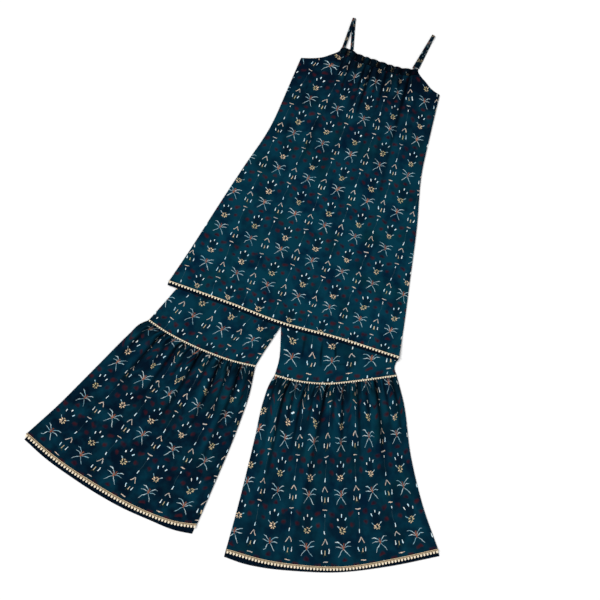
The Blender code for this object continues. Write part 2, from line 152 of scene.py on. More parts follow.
# Creases between gathers. place is a fraction of the seam, half is half a crease's width in the
# same fraction, depth is a share of the swell, reach is in mm below the seam and drift is how far
# the crease wanders sideways by the hem
Crease = namedtuple("Crease", "place half depth reach drift")
NECK_CREASES = (
    Crease(0.300, 0.010, 0.8, 70, 0.00),
    Crease(0.350, 0.010, 0.9, 110, -0.01),
    Crease(0.400, 0.010, 0.7, 60, 0.00),
    Crease(0.450, 0.010, 0.9, 90, 0.00),
    Crease(0.495, 0.014, 1.0, 150, -0.02),
    Crease(0.550, 0.010, 0.8, 80, 0.00),
    Crease(0.600, 0.010, 0.9, 120, 0.01),
    Crease(0.650, 0.010, 0.7, 60, 0.00),
    Crease(0.700, 0.010, 0.8, 90, 0.01),
    Crease(0.750, 0.016, 1.0, 420, 0.02),
)
LEFT_CREASES = (
    Crease(0.070, 0.016, 0.8, 150, 0.00),
    Crease(0.188, 0.018, 1.0, 240, -0.02),
    Crease(0.270, 0.014, 0.7, 110, 0.00),
    Crease(0.345, 0.016, 0.9, 200, 0.01),
    Crease(0.435, 0.014, 0.7, 130, 0.00),
    Crease(0.532, 0.020, 1.0, 260, -0.02),
    Crease(0.625, 0.014, 0.7, 120, 0.00),
    Crease(0.709, 0.020, 1.0, 230, 0.01),
    Crease(0.795, 0.014, 0.8, 160, 0.00),
    Crease(0.880, 0.018, 1.0, 420, -0.02),
    Crease(0.955, 0.014, 0.7, 140, 0.00),
)
RIGHT_CREASES = (
    Crease(0.045, 0.014, 0.8, 140, 0.00),
    Crease(0.135, 0.018, 1.0, 330, -0.03),
    Crease(0.205, 0.014, 0.7, 120, -0.05),
    Crease(0.275, 0.016, 0.9, 190, -0.08),
    Crease(0.355, 0.014, 0.7, 120, -0.11),
    Crease(0.440, 0.020, 1.0, 480, -0.14),
    Crease(0.505, 0.014, 0.7, 130, -0.05),
    Crease(0.570, 0.016, 0.9, 210, -0.02),
    Crease(0.680, 0.016, 0.9, 230, 0.00),
    Crease(0.750, 0.014, 0.7, 120, 0.00),
    Crease(0.820, 0.018, 1.0, 260, 0.02),
    Crease(0.890, 0.014, 0.7, 150, 0.00),
    Crease(0.955, 0.016, 0.9, 180, 0.00),
)

# Swell of the gathered cloth between its creases: high at most, flat down to start, whole at
# full, then settling over settle, and level again for hem_flat above the hem
Swell = namedtuple("Swell", "high start full settle hem_flat")
NECK_SWELL = Swell(high=6.0, start=0, full=18, settle=130, hem_flat=300)
FLARE_SWELL = Swell(high=9.0, start=6, full=32, settle=170, hem_flat=60)
LEVEL_OUT = 60.0
SIDE_ROUND = 0.05
SIDE_FADE = 24.0
UNDER_HEM = 4.0

# Painted highlight beside a crease, in halves of the crease: how far aside and how wide, and how much
# the ground is lightened there as painted light
LIT_ASIDE = 1.9
LIT_WIDE = 1.3
NECK_LIT = 0.30
FLARE_LIT = 0.85

# Painted shade in a crease: how narrow and how strong it is, how much longer than the crease, over how
# many mm it settles, and how far below a flare's seam it is whole
CREASE_CORE = 1.9
CREASE_GAIN = 1.25
SHADE_REACH = 1.5
SHADE_SETTLE = 260.0
NECK_CREASE_PAINTED_SHADE = 0.9
FLARE_SEAM_CLEAR = 4.0

# The neckline's gathers start outside the strip's ends and are whole inside them, as fractions of
# the top edge
NECK_SIDE_START = -0.09
NECK_SIDE_FULL = 0.02

# Short puckers between the creases, right below a seam. Pairs of shares are the range that each
# pucker is drawn from; starts are in mm below the seam, and fades are shares of the reach
Pucker = namedtuple("Pucker", "pitch high reach")
NECK_PUCKER = Pucker(pitch=11.0, high=1.4, reach=44.0)
FLARE_PUCKER = Pucker(pitch=10.0, high=1.8, reach=74.0)
PUCKER_PLACES = (0.2, 0.8)
PUCKER_HIGHS = (0.4, 1.0)
PUCKER_REACHES = (0.45, 1.3)
PUCKER_HALVES = (0.8, 1.3)
PUCKER_HALF_SHARE = 0.34
PUCKER_START = (1.5, 9.0)
PUCKER_FADE = 0.3
# Painted shade between the puckers: how strong, under what share of a pucker's height it lies, where it
# starts below the seam and where it fades
PUCKER_PAINTED_SHADE = 0.85
PUCKER_VALLEY = 0.7
PUCKER_PAINTED_SHADE_START = (1.0, 5.0)
PUCKER_PAINTED_SHADE_FADE = 0.25
NECK_PUCKER_SEED = 3
FLARE_PUCKER_SEED = {"left": 5, "right": 8}

# Points along a soft crease's path, what its flanks are scaled by to stand as high as stated, and
# how it fades at its tips
FOLD_STEPS = 25
FLANK_GAIN = 2.1
FOLD_TIP = 0.06
FOLD_TAPER = 0.7

# Lie of the kameez over the trousers: level this far past them, then down to the surface
LIFT_LEVEL = 10.0
LIFT_SLOPE = 34.0

# Soft creases, listed one by one: a trough through these points (across, up), half as wide as half, with
# flanks this high and painted shade in the trough from 0 to 1
Fold = namedtuple("Fold", "points half high dark")
KAMEEZ_FOLDS = (
    Fold(((-102, 668), (-112, 613), (-113, 526), (-125, 470)), 9.0, 3.0, 0.42),
    Fold(((-203, 650), (-186, 545), (-182, 470)), 8.0, 2.0, 0.28),
    Fold(((79, 700), (89, 641), (99, 575)), 7.0, 2.2, 0.34),
    Fold(((36, 690), (44, 610), (40, 540)), 8.0, 1.6, 0.22),
    Fold(((-30, 640), (-34, 560), (-46, 480)), 9.0, 1.6, 0.18),
    Fold(((41, 450), (58, 320), (66, 190)), 12.0, 1.4, 0.12),
    Fold(((199, 440), (226, 300), (240, 190)), 11.0, 1.6, 0.16),
    Fold(((-228, 340), (-214, 230), (-216, 140)), 12.0, 1.4, 0.12),
    Fold(((-120, 330), (-131, 215), (-128, 110)), 12.0, 1.2, 0.10),
)
THIGH_FOLDS = {
    "left": (
        Fold(((-250, 20), (-262, -60), (-284, -130)), 9.0, 1.4, 0.16),
        Fold(((-120, 10), (-118, -70), (-124, -140)), 9.0, 1.2, 0.14),
    ),
    "right": (
        Fold(((84, 0), (93, -50), (99, -78)), 3.4, 1.6, 0.80),
        Fold(((140, 0), (152, -50), (163, -80)), 3.2, 1.6, 0.92),
        Fold(((178, 6), (192, -28), (203, -56)), 3.6, 1.6, 0.92),
        Fold(((140, -84), (200, -60), (262, -34)), 2.6, 0.9, 0.55),
        Fold(((262, 40), (284, 8), (300, -30)), 8.0, 1.2, 0.20),
    ),
}

# Gold edging: braid is the band, tooth the length of its teeth, fill how much of their spacing
# they take up
Edging = namedtuple("Edging", "braid tooth cords cord_thick fill")
NARROW_EDGING = Edging(braid=2.6, tooth=3.6, cords=1, cord_thick=1.9, fill=0.62)
KAMEEZ_EDGING = Edging(braid=3.0, tooth=5.2, cords=1, cord_thick=2.2, fill=0.62)
WIDE_EDGING = Edging(braid=6.2, tooth=7.0, cords=2, cord_thick=1.8, fill=0.66)
CORD_LAY = 5.0
CORD_STEP = 0.9
CORD_SEAT = 0.15
CORD_FULL = 1.12
TAPE_INSET = 0.3
TAPE_CLEAR = 0.05
TAPE_THICK = 0.4
TOOTH_TUCK = 1.0
TOOTH_THREAD = 0.45
TOOTH_THICK = 1.5
TOOTH_ROOT_SHARE = 0.6
TOOTH_TIP_SHARE = 0.4
THREAD_SIDES = 5
STRAND_SIDES = 6
KAMEEZ_TEETH = 76
KNEE_TEETH = {"left": 49, "right": 50}
HEM_TEETH = {"left": 60, "right": 66}
EDGE_STEP = 0.002
EDGE_SAMPLES = 400

# The print's repeat, in its own mm, and how each panel's cloth carries it
REPEAT_WIDE = 102.3
REPEAT_HIGH = 117.0
STAR_ACROSS = 21.0
STAR_UP = 98.0
NECK_GATHER = 0.36
NECK_GATHER_FADE = 190.0
FLARE_CUT_WIDE = {"left": 590.0, "right": 660.0}
FLARE_REPEAT_WIDE = 120.0
FLARE_REPEAT_HIGH = 156.0
FLARE_STAR_SHARE = {"left": 0.486, "right": 0.560}
FLARE_STAR_DOWN = 490.0
# Cloth hidden in the creases, as a share of its width at the seam, and how far down it shows again
NECK_HIDDEN = 0.13
NECK_HIDDEN_DOWN = 190.0
FLARE_HIDDEN = 0.32
FLARE_HIDDEN_DOWN = 300.0
# Print broken up by gathering: strips across the seam, and how far they shift and reach, in mm
Break = namedtuple("Break", "count across up reach")
NECK_BREAK = Break(count=26, across=5.0, up=9.0, reach=120.0)
FLARE_BREAK = Break(count=34, across=3.2, up=14.0, reach=240.0)
BREAK_FADE = 0.3
NECK_BREAK_SEED = 6
FLARE_BREAK_SEED = {"left": 4, "right": 9}
THIGH_SCALE = {"left": (0.96, 1.10), "right": (1.20, 1.20)}
THIGH_STAR_SHARE = {"left": 0.56, "right": 0.105}
THIGH_STAR_ABOVE_KNEE = {"left": 75.0, "right": 62.0}

# How dark the cloth's ground is: painted shade of the dense gathers, most below the neckline and fading
# down the kameez; the print's darker ground, even on the flares and slight on the thighs; and how dark
# the casing is, as painted shade, and the straps
NECK_PAINTED_SHADE = 1.05
NECK_PAINTED_SHADE_FADE = 190.0
FLARE_GROUND = {"left": 0.66, "right": 0.44}
THIGH_GROUND = 0.14
CASING_PAINTED_SHADE = 0.72
STRAP_DARK = 0.50

# Fineness of the cloth shells, in mm, and the rounding of their edges
FINE = 3.7
BACK_FINE = 9.0
THIGH_FINE = {"left": 5.0, "right": 3.2}
BAND_FINE = 5.0
EDGE_RUN = (0.0, 0.22, 0.6, 1.2, 2.2)
EDGE_CLEAR = 1.6
EDGE_ROUND = 1.2
EDGE_THIN = 0.3
SEAM_DIP = 0.22
SEAM_DIP_RUN = 6.0

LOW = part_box("kameez_front")[0]
SHIFT = np.array((LOW[0] / MM - KAMEEZ_LEFT[-1][0], LOW[1] / MM - KAMEEZ_LEFT[-1][1], 0.0))

# Photograph: where its middle lies on the table, the side of its square frame, and its turn
VIEW_MIDDLE = (30.0, 90.0)
VIEW_SIDE = 1860.0
VIEW_TURN = math.radians(20.5)
VIEW_HIGH = 6.0
VIEW_CLIP = 50.0
SENSOR_WIDE = 36.0
WORLD_LIGHT = 0.74
SUN_LIGHT = 2.0
SUN_SOFT = math.radians(28)
SUN_FROM = (-2.4, 2.0, 2.4)
FLOOR_HALF = 8.0
FLOOR_CORNERS = ((-1, -1), (1, -1), (1, 1), (-1, 1))
FLOOR_LEVEL = -0.0004


def ramp(value, low, high):
    """0 up to low, 1 from high on, and a soft rise between."""
    share = np.clip((value - low) / (high - low), 0.0, 1.0)
    return share * share * (3 - 2 * share)


def curve(points):
    """A function of t, 0 to 1 by length, that runs smoothly through the points."""
    points = np.array(points, float)
    at = np.concatenate(([0.0], np.cumsum(np.hypot(*np.diff(points, axis=0).T))))
    at /= at[-1]
    slopes = np.gradient(points, at, axis=0)

    def place(t):
        t = np.asarray(t, float)
        i = np.clip(np.searchsorted(at, t) - 1, 0, len(at) - 2)
        step = (at[i + 1] - at[i])[..., None]
        s = (t - at[i])[..., None] / step
        start = (1 + 2 * s) * (1 - s) ** 2 * points[i] + s * (1 - s) ** 2 * step * slopes[i]
        end = s * s * (3 - 2 * s) * points[i + 1] + s * s * (s - 1) * step * slopes[i + 1]
        return start + end

    return place


def moved(edge, across, up):
    """The same edge, moved on the table."""
    return lambda t: edge(t) + np.array((across, up))


def joined(first, second, share):
    """Two edges end to end; the first takes this share of t."""
    def place(t):
        t = np.asarray(t, float)
        early = first(np.minimum(t / share, 1.0))
        late = second(np.maximum((t - share) / (1 - share), 0.0))
        return np.where((t < share)[..., None], early, late)

    return place


def panel(top, bottom, left, right):
    """A panel's shape on the table: u from left to right, v from its top edge to its hem."""
    corners = [[top(0), top(1)], [bottom(0), bottom(1)]]

    def place(u, v):
        across, down = u[..., None], v[..., None]
        along = (1 - down) * top(u) + down * bottom(u) + (1 - across) * left(v) + across * right(v)
        upper = (1 - across) * corners[0][0] + across * corners[0][1]
        lower = (1 - across) * corners[1][0] + across * corners[1][1]
        return along - (1 - down) * upper - down * lower

    return place


def spread(long, fine=FINE):
    """Places from 0 to 1 along a length in mm, close together at both ends."""
    near = np.array(EDGE_RUN) / long
    inner = np.linspace(0, 1, max(int(long / fine), 4) + 1)
    clear = near[-1] * EDGE_CLEAR
    inner = inner[(inner > clear) & (inner < 1 - clear)]
    return np.concatenate((near, inner, 1 - near[::-1]))


def follow(columns, v, creases):
    """The fraction across at which columns lie, v of the way down, as their creases wander."""
    starts = [0.0] + [crease.place for crease in creases] + [1.0]
    drifts = [0.0] + [crease.drift for crease in creases] + [0.0]
    return columns[None, :] + np.interp(columns, starts, drifts)[None, :] * v[:, None]


def crease_depth(column, down, creases):
    """How deep in a crease the cloth lies, from 0 to 1."""
    sunk = np.zeros(np.broadcast(column, down).shape)
    for crease in creases:
        across = np.exp(-(((column - crease.place) / crease.half) ** 2))
        sunk = np.maximum(sunk, crease.depth * across * (1 - ramp(down, crease.reach / 2, crease.reach)))
    return sunk


def crease_painted_shade(column, down, creases):
    """Painted shade in the creases: narrower than they are deep, and a little longer."""
    longer = [crease._replace(reach=crease.reach * SHADE_REACH) for crease in creases]
    deep = crease_depth(column, down, longer) ** CREASE_CORE
    return np.clip(CREASE_GAIN * deep * np.exp(-down / SHADE_SETTLE), 0, 1)


def lit_flank(column, down, creases):
    """How much painted highlight lies beside the creases, on the side that faces the window."""
    moved_on = [
        crease._replace(place=crease.place - LIT_ASIDE * crease.half, half=LIT_WIDE * crease.half)
        for crease in creases
    ]
    return crease_depth(column, down, moved_on)


def hidden_cloth(column, creases):
    """The share of the cloth hidden in creases that lies left of a column, less the column."""
    total = sum(crease.depth for crease in creases)
    passed = sum(crease.depth * ramp(column, crease.place - crease.half, crease.place + crease.half)
                 for crease in creases)
    return passed / total - column


def broken_print(column, down, breaks, seed):
    """How far gathering shifts the print at each point: across and up, in mm of cloth."""
    draw = np.random.default_rng(seed)
    knots = np.linspace(0, 1, breaks.count)
    fade = 1 - ramp(down, BREAK_FADE * breaks.reach, breaks.reach)
    shifts = [
        most * fade * np.interp(column, knots, draw.uniform(-1, 1, breaks.count))
        for most in (breaks.across, breaks.up)
    ]
    return np.stack(shifts, axis=-1)


def swell_height(column, down, creases, swell, long):
    """Height of gathered cloth: rounded swells parted by creases, dying away down the panel."""
    high = swell.high * ramp(down, swell.start, swell.full) * np.exp(-down / swell.settle)
    high = high * (1 - ramp(down, long - swell.hem_flat - LEVEL_OUT, long - swell.hem_flat))
    high = high * ramp(np.minimum(column, 1 - column), 0, SIDE_ROUND)
    return high * (1 - crease_depth(column, down, creases))


def lay_folds(plan, folds):
    """Height and painted shade of soft creases: a trough between two flanks, fading at its ends."""
    height, dark = np.zeros(plan.shape[:2]), np.zeros(plan.shape[:2])
    for fold in folds:
        path = curve(fold.points)(np.linspace(0, 1, FOLD_STEPS))
        apart = np.linalg.norm(plan[:, :, None, :] - path, axis=-1)
        nearest = np.argmin(apart, axis=2)
        off = np.min(apart, axis=2) / fold.half
        share = nearest / (FOLD_STEPS - 1)
        inner = FOLD_TIP + (1 - 2 * FOLD_TIP) * share
        strength = np.sin(math.pi * inner) ** FOLD_TAPER
        flanks = np.exp(-((off / 2) ** 2)) - np.exp(-(off ** 2))
        height = height + FLANK_GAIN * fold.high * strength * flanks
        # Painted shade in the trough
        dark = np.maximum(dark, fold.dark * strength * np.exp(-(off ** 2)))
    return height, dark


def pucker_height(column, down, long_seam, pucker, seed):
    """Small uneven ridges that start at the seam and die out within a few centimetres."""
    draw = np.random.default_rng(seed)
    count = int(long_seam / pucker.pitch)
    places = (np.arange(count) + draw.uniform(*PUCKER_PLACES, count)) / count
    highs = pucker.high * draw.uniform(*PUCKER_HIGHS, count)
    reaches = pucker.reach * draw.uniform(*PUCKER_REACHES, count)
    halves = PUCKER_HALF_SHARE * pucker.pitch / long_seam * draw.uniform(*PUCKER_HALVES, count)
    total = np.zeros(np.broadcast(column, down).shape)
    for place, high, reach, half in zip(places, highs, reaches, halves):
        ridge = high * np.exp(-(((column - place) / half) ** 2))
        fade = 1 - ramp(down, reach * PUCKER_FADE, reach)
        total = np.maximum(total, ridge * ramp(down, *PUCKER_START) * fade)
    return total


def add_object(name, data):
    thing = bpy.data.objects.new(name, data)
    bpy.context.scene.collection.objects.link(thing)
    return thing


def add_mesh(name, vertices, faces, materials, picks=None):
    """A smooth-shaded mesh from points in mm."""
    mesh = bpy.data.meshes.new(name)
    spots = (np.asarray(vertices, float) + SHIFT) * MM
    mesh.from_pydata(spots.tolist(), [], [list(map(int, face)) for face in faces])
    for material in materials:
        mesh.materials.append(material)
    if picks is not None:
        mesh.polygons.foreach_set("material_index", np.asarray(picks, np.int32))
    mesh.shade_smooth()
    mesh.update()
    return add_object(name, mesh)


def mark(thing, name, values):
    """Store a vector for each point of a mesh, for its material to read."""
    layer = thing.data.attributes.new(name, "FLOAT_VECTOR", "POINT")
    flat = np.zeros((len(thing.data.vertices), 3), np.float32)
    flat[:, : values.shape[1]] = values
    layer.data.foreach_set("vector", flat.ravel())


def grid_faces(rows, columns):
    """Quads of a grid of points, wound to face up where columns run right and rows run down."""
    corner = np.arange(rows * columns).reshape(rows, columns)
    a, b = corner[:-1, :-1].ravel(), corner[:-1, 1:].ravel()
    c, d = corner[1:, 1:].ravel(), corner[1:, :-1].ravel()
    return np.stack((a, d, c, b), axis=1)


def ring_faces(rings, sides):
    """Faces of a closed tube: rings of this many points each, and a cap at each end."""
    faces = []
    for i in range(rings - 1):
        for j in range(sides):
            k = (j + 1) % sides
            faces.append((i * sides + j, i * sides + k, (i + 1) * sides + k, (i + 1) * sides + j))
    faces.append(tuple(range(sides - 1, -1, -1)))
    faces.append(tuple((rings - 1) * sides + j for j in range(sides)))
    return faces


def pucker_painted_shade(pucker, height, down):
    """Painted shade between the puckers, right below a seam."""
    valley = 1 - np.clip(height / (PUCKER_VALLEY * pucker.high), 0, 1)
    fade = 1 - ramp(down, PUCKER_PAINTED_SHADE_FADE * pucker.reach, pucker.reach)
    return PUCKER_PAINTED_SHADE * valley * ramp(down, *PUCKER_PAINTED_SHADE_START) * fade


def add_shell(name, plan, under, thick, printed, cloth, materials, shade=(0.0, 0.0)):
    """A closed cloth shell over a grid: its outer points, its inner points and a rim between.

    shade is the painted shade of creases and hollows at each point, and how dark its ground is: the
    print's own tone, with painted shade and highlight mixed in.
    """
    rows, columns = under.shape
    count = rows * columns
    low = np.concatenate((plan, under[..., None]), axis=2).reshape(-1, 3)
    high = np.concatenate((plan, (under + thick)[..., None]), axis=2).reshape(-1, 3)
    up = grid_faces(rows, columns)
    rim = list(range(columns))
    rim += [i * columns + columns - 1 for i in range(1, rows)]
    rim += [(rows - 1) * columns + j for j in range(columns - 2, -1, -1)]
    rim += [i * columns for i in range(rows - 2, 0, -1)]
    sides = [(a, b, b + count, a + count) for a, b in zip(rim, rim[1:] + rim[:1])]
    faces = np.concatenate((up + count, up[:, ::-1], np.array(sides)))
    picks = [0] * len(up) + [1] * len(up) + [0] * len(sides)
    thing = add_mesh(name, np.concatenate((low, high)), faces, materials, picks)
    crease, ground_and_painted_light = (np.broadcast_to(part, under.shape) for part in shade)
    mark(thing, "print", np.tile(printed.reshape(-1, 2), (2, 1)))
    mark(thing, "cloth", np.tile(cloth.reshape(-1, 2), (2, 1)))
    mark(thing, "shade", np.tile(np.stack((crease, ground_and_painted_light), axis=-1).reshape(-1, 2), (2, 1)))
    return thing


def edge_thickness(u, v, wide, long):
    """Wall thickness near a panel's edges, which are rounded."""
    near = np.minimum(np.minimum(u, 1 - u) * wide, np.minimum(v, 1 - v) * long)
    round_off = 1 - np.clip(1 - near / EDGE_ROUND, 0, 1) ** 2
    return WALL * (EDGE_THIN + (1 - EDGE_THIN) * np.sqrt(round_off))


def seam_dip(u, wide):
    """How far the layers close up towards the side seams."""
    near = np.minimum(u, 1 - u) * wide
    return SEAM_DIP * (1 - ramp(near, 0, SEAM_DIP_RUN))


def trouser_side(x, y):
    """How far a point lies outside the part of the trousers that the kameez covers, in mm."""
    waist_left, waist_right = np.array(WAIST_TOP[0]), np.array(WAIST_TOP[-1])
    left_hip, right_hip = np.array(LEFT_LEG.outer[2]), np.array(RIGHT_LEG.outer[2])
    out = []
    for start, end in ((waist_left, waist_right), (waist_right, right_hip), (left_hip, waist_left)):
        ahead = (end - start) / np.hypot(*(end - start))
        out.append(ahead[0] * (y - start[1]) - ahead[1] * (x - start[0]))
    return np.maximum.reduce(out)


def lift(x, y):
    """Height of the kameez's underside: over the trousers, and down to the surface past them."""
    return OVER_TROUSERS * (1 - ramp(trouser_side(x, y), LIFT_LEVEL, LIFT_LEVEL + LIFT_SLOPE))


# Shader nodes


Patch = namedtuple("Patch", "scale detail rough low high")


class Nodes:
    """Short ways to add and link shader nodes in one tree."""

    def __init__(self, tree):
        self.tree = tree

    def add(self, kind, **settings):
        node = self.tree.nodes.new(kind)
        for name, value in settings.items():
            setattr(node, name, value)
        return node

    def put(self, socket, value):
        if isinstance(value, bpy.types.NodeSocket):
            self.tree.links.new(value, socket)
        elif value is not None:
            socket.default_value = value

    def math(self, operation, first, second=None, third=None, clamp=False):
        node = self.add("ShaderNodeMath", operation=operation, use_clamp=clamp)
        for socket, value in zip(node.inputs, (first, second, third)):
            self.put(socket, value)
        return node.outputs[0]

    def vector(self, operation, first, second=None, scale=None):
        node = self.add("ShaderNodeVectorMath", operation=operation)
        self.put(node.inputs[0], first)
        self.put(node.inputs[1], second)
        self.put(node.inputs[3], scale)
        return node.outputs[1 if operation in ("DOT_PRODUCT", "LENGTH") else 0]

    def combine(self, x, y, z=0.0):
        node = self.add("ShaderNodeCombineXYZ")
        for socket, value in zip(node.inputs, (x, y, z)):
            self.put(socket, value)
        return node.outputs[0]

    def separate(self, vector):
        node = self.add("ShaderNodeSeparateXYZ")
        self.put(node.inputs[0], vector)
        return node.outputs

    def noise(self, vector, scale, detail=2.0, roughness=0.5, colour=False):
        node = self.add("ShaderNodeTexNoise")
        self.put(node.inputs["Vector"], vector)
        node.inputs["Scale"].default_value = scale
        node.inputs["Detail"].default_value = detail
        node.inputs["Roughness"].default_value = roughness
        return node.outputs["Color" if colour else "Fac"]

    def rise(self, value, low, high):
        """0 where value is low, 1 where it is high, clamped."""
        node = self.add("ShaderNodeMapRange", clamp=True)
        self.put(node.inputs["Value"], value)
        node.inputs["From Min"].default_value = low
        node.inputs["From Max"].default_value = high
        return node.outputs["Result"]

    def patch(self, place, patch, aside=None):
        """Soft patches of noise, read this far aside so that no two kinds fall together."""
        spot = self.vector("ADD", place, aside) if aside else place
        return self.rise(self.noise(spot, *patch[:3]), patch.low, patch.high)

    def bump(self, height, strength, high):
        """A normal from a height, where 1 stands this many mm high."""
        node = self.add("ShaderNodeBump")
        node.inputs["Strength"].default_value = strength
        node.inputs["Distance"].default_value = high * MM
        self.put(node.inputs["Height"], height)
        return node.outputs["Normal"]

    def mix(self, share, first, second):
        node = self.add("ShaderNodeMix", data_type="RGBA")
        self.put(node.inputs[0], share)
        self.put(node.inputs[6], first)
        self.put(node.inputs[7], second)
        return node.outputs[2]

    def attribute(self, name):
        return self.add("ShaderNodeAttribute", attribute_name=name).outputs["Vector"]


def stroke_group():
    """A painted stroke: 1 near the line from one point along another, with its own radii."""
    tree = bpy.data.node_groups.new("stroke", "ShaderNodeTree")
    face = tree.interface
    for name in ("Point", "From", "Along"):
        face.new_socket(name, in_out="INPUT", socket_type="NodeSocketVector")
    for name in ("Inverse", "Radius", "Widening", "Soft"):
        face.new_socket(name, in_out="INPUT", socket_type="NodeSocketFloat")
    face.new_socket("Mask", in_out="OUTPUT", socket_type="NodeSocketFloat")
    nodes = Nodes(tree)
    given = nodes.add("NodeGroupInput").outputs
    from_start = nodes.vector("SUBTRACT", given["Point"], given["From"])
    dot = nodes.vector("DOT_PRODUCT", from_start, given["Along"])
    share = nodes.math("MULTIPLY", dot, given["Inverse"], clamp=True)
    nearest = nodes.vector("SCALE", given["Along"], scale=share)
    apart = nodes.vector("LENGTH", nodes.vector("SUBTRACT", from_start, nearest))
    radius = nodes.math("MULTIPLY_ADD", share, given["Widening"], given["Radius"])
    inside = nodes.math("SUBTRACT", radius, apart)
    mask = nodes.math("DIVIDE", inside, given["Soft"], clamp=True)
    out = nodes.add("NodeGroupOutput")
    tree.links.new(mask, out.inputs[0])
    return tree


# Strokes of the print, in mm from the middle of the star or along the chain: frame is star or
# chain, start and end are (across, up), radius is at the start and tip at the end
Stroke = namedtuple("Stroke", "paint frame start end radius tip")
STROKES = (
    Stroke("pale", "star", (2, 3), (6, 8.5), 0.75, 0.95),
    Stroke("pale", "star", (6, 8.5), (14, 13.5), 0.95, 1.1),
    Stroke("pale", "star", (14, 13.5), (21, 14), 1.1, 0.7),
    Stroke("pale", "star", (3, 1), (12, 3.5), 0.75, 1.1),
    Stroke("pale", "star", (12, 3.5), (20.5, 3), 1.1, 0.7),
    Stroke("pale", "star", (1.5, -2.5), (9, -11), 0.75, 1.05),
    Stroke("pale", "star", (9, -11), (15.5, -19), 1.05, 0.75),
    Stroke("rust", "star", (0, -2), (0, 4), 1.9, 1.3),
    Stroke("rust", "star", (1, 1), (6, 6), 1.3, 0.8),
    Stroke("rust", "star", (0, 5), (1.5, 11), 1.0, 0.8),
    Stroke("gold", "star", (3.4, 41), (6.6, 42.8), 1.4, 1.8),
    Stroke("gold", "star", (3.2, 37.6), (7.4, 37), 1.3, 1.7),
    Stroke("gold", "star", (1.6, 34.8), (3.2, 33), 1.3, 1.5),
    Stroke("gold", "star", (0, 43.6), (1.6, 45.4), 1.1, 1.2),
    Stroke("core", "star", (0, 38.5), (0, 40.5), 1.9, 1.5),
    Stroke("pale", "star", (9.5, 44.5), (14, 48), 0.9, 1.3),
    Stroke("white", "star", (11, 64), (12.6, 68), 1.4, 1.6),
    Stroke("white", "star", (0, 71), (0, 75), 1.5, 1.7),
    Stroke("white", "chain", (0, 31), (0, 38), 1.6, 1.2),
    Stroke("blush", "chain", (0.4, 20), (7.6, 9.5), 1.0, 1.4),
    Stroke("gold", "chain", (0, -5.5), (0, -13.5), 1.1, 1.4),
    Stroke("white", "chain", (10.2, -2.5), (9.8, -10.5), 1.1, 1.5),
    Stroke("moss", "chain", (3, -14), (4.5, -18), 2.2, 1.8),
    Stroke("blush", "chain", (0, -31.4), (6.6, -31), 1.4, 1.0),
    Stroke("white", "chain", (0, -41), (0, -45), 1.5, 1.2),
    Stroke("thread", "chain", (0, -49), (0, -76), 0.55, 0.55),
    Stroke("night", "star", (0, 54), (0, 64), 14.0, 14.0),
    Stroke("maroon", "star", (0, -26), (3, -27), 7.8, 6.8),
    Stroke("maroon", "star", (30, 52), (33, 53), 7.2, 6.4),
    Stroke("maroon", "star", (26, 76), (30, 77), 7.4, 6.6),
    Stroke("maroon", "chain", (17, -38), (18, -40), 5.6, 5.0),
)
STAR_ROWS = (-30.0, 87.0)
CHAIN_ROWS = (-76.0, 41.0)
EDGE_SOFT = 0.8
PAINT_SOFT = {"night": 7.0, "maroon": 6.0, "moss": 2.0}

# How a hand strays: size of the noise, and how far it moves a point, in mm
HAND_SCALE, HAND_REACH = 0.045, 9.0
NIB_SCALE, NIB_REACH = 0.30, 2.6
MIDDLE_GREY = (0.5, 0.5, 0.5)

# Patches of the cloth's ground and of the paints
TEAL_PATCH = Patch(0.016, 3.0, 0.55, 0.36, 0.56)
GREEN_PATCH = Patch(0.013, 2.0, 0.5, 0.5, 0.75)
GREEN_ASIDE = (500.0, 0.0, 0.0)
GREEN_SHARE = 0.5
DARK_PATCH = Patch(0.02, 3.0, 0.6, 0.34, 0.66)
DARK_ASIDE = (0.0, 300.0, 0.0)
DARK_GAIN, DARK_LEAST = 1.3, 0.35
TONE_PATCH = Patch(0.06, 1.0, 0.5, 0.38, 0.62)
THREAD_PATCH = Patch(0.9, 2.0, 0.7, 0.60, 0.95)
INNER_PATCH = Patch(0.05, 3.0, 0.6, 0.35, 0.7)
SHOW_THROUGH = 0.02
WORN = (0.13, 3.0, 0.6)

# How well a paint covers: evenly, or between these where the noise says that it is worn
COVER = {"night": 0.70, "moss": 0.55, "thread": 0.60, "core": 0.9, "rust": 0.85}
WEAR = {
    "maroon": (0.16, 0.50), "pale": (0.24, 0.46), "white": (0.16, 0.36),
    "blush": (0.20, 0.42), "gold": (0.22, 0.44),
}

# Print colours, linear: each paint runs between two
PAINTS = {
    "night": ((0.0010, 0.0050, 0.013), (0.0010, 0.0060, 0.016)),
    "maroon": ((0.018, 0.0048, 0.012), (0.046, 0.0072, 0.010)),
    "moss": ((0.012, 0.036, 0.010), (0.040, 0.050, 0.008)),
    "thread": ((0.05, 0.13, 0.16), (0.12, 0.17, 0.18)),
    "pale": ((0.24, 0.47, 0.56), (0.60, 0.72, 0.74)),
    "white": ((0.56, 0.82, 0.94), (0.88, 0.92, 0.88)),
    "blush": ((0.46, 0.47, 0.46), (0.76, 0.58, 0.44)),
    "gold": ((0.48, 0.42, 0.22), (0.84, 0.62, 0.42)),
    "rust": ((0.26, 0.07, 0.03), (0.46, 0.15, 0.07)),
    "core": ((0.003, 0.010, 0.014), (0.004, 0.014, 0.018)),
}
NAVY = (0.0006, 0.0115, 0.029, 1.0)
TEAL = (0.0016, 0.0345, 0.059, 1.0)
GREEN = (0.0012, 0.0270, 0.030, 1.0)
DEEP = (0.0008, 0.0058, 0.015, 1.0)
# The wrong side's plain colour, darkened past its own colour as painted shade for the back's hem band
# below the kameez's hem
INNER_WITH_PAINTED_SHADE = (0.0008, 0.0030, 0.008, 1.0)
# SHADOW is the colour of painted shade in creases, hollows and between puckers
SHADOW = (0.0003, 0.0010, 0.0022, 1.0)


def opaque(colour):
    return (*colour, 1.0)


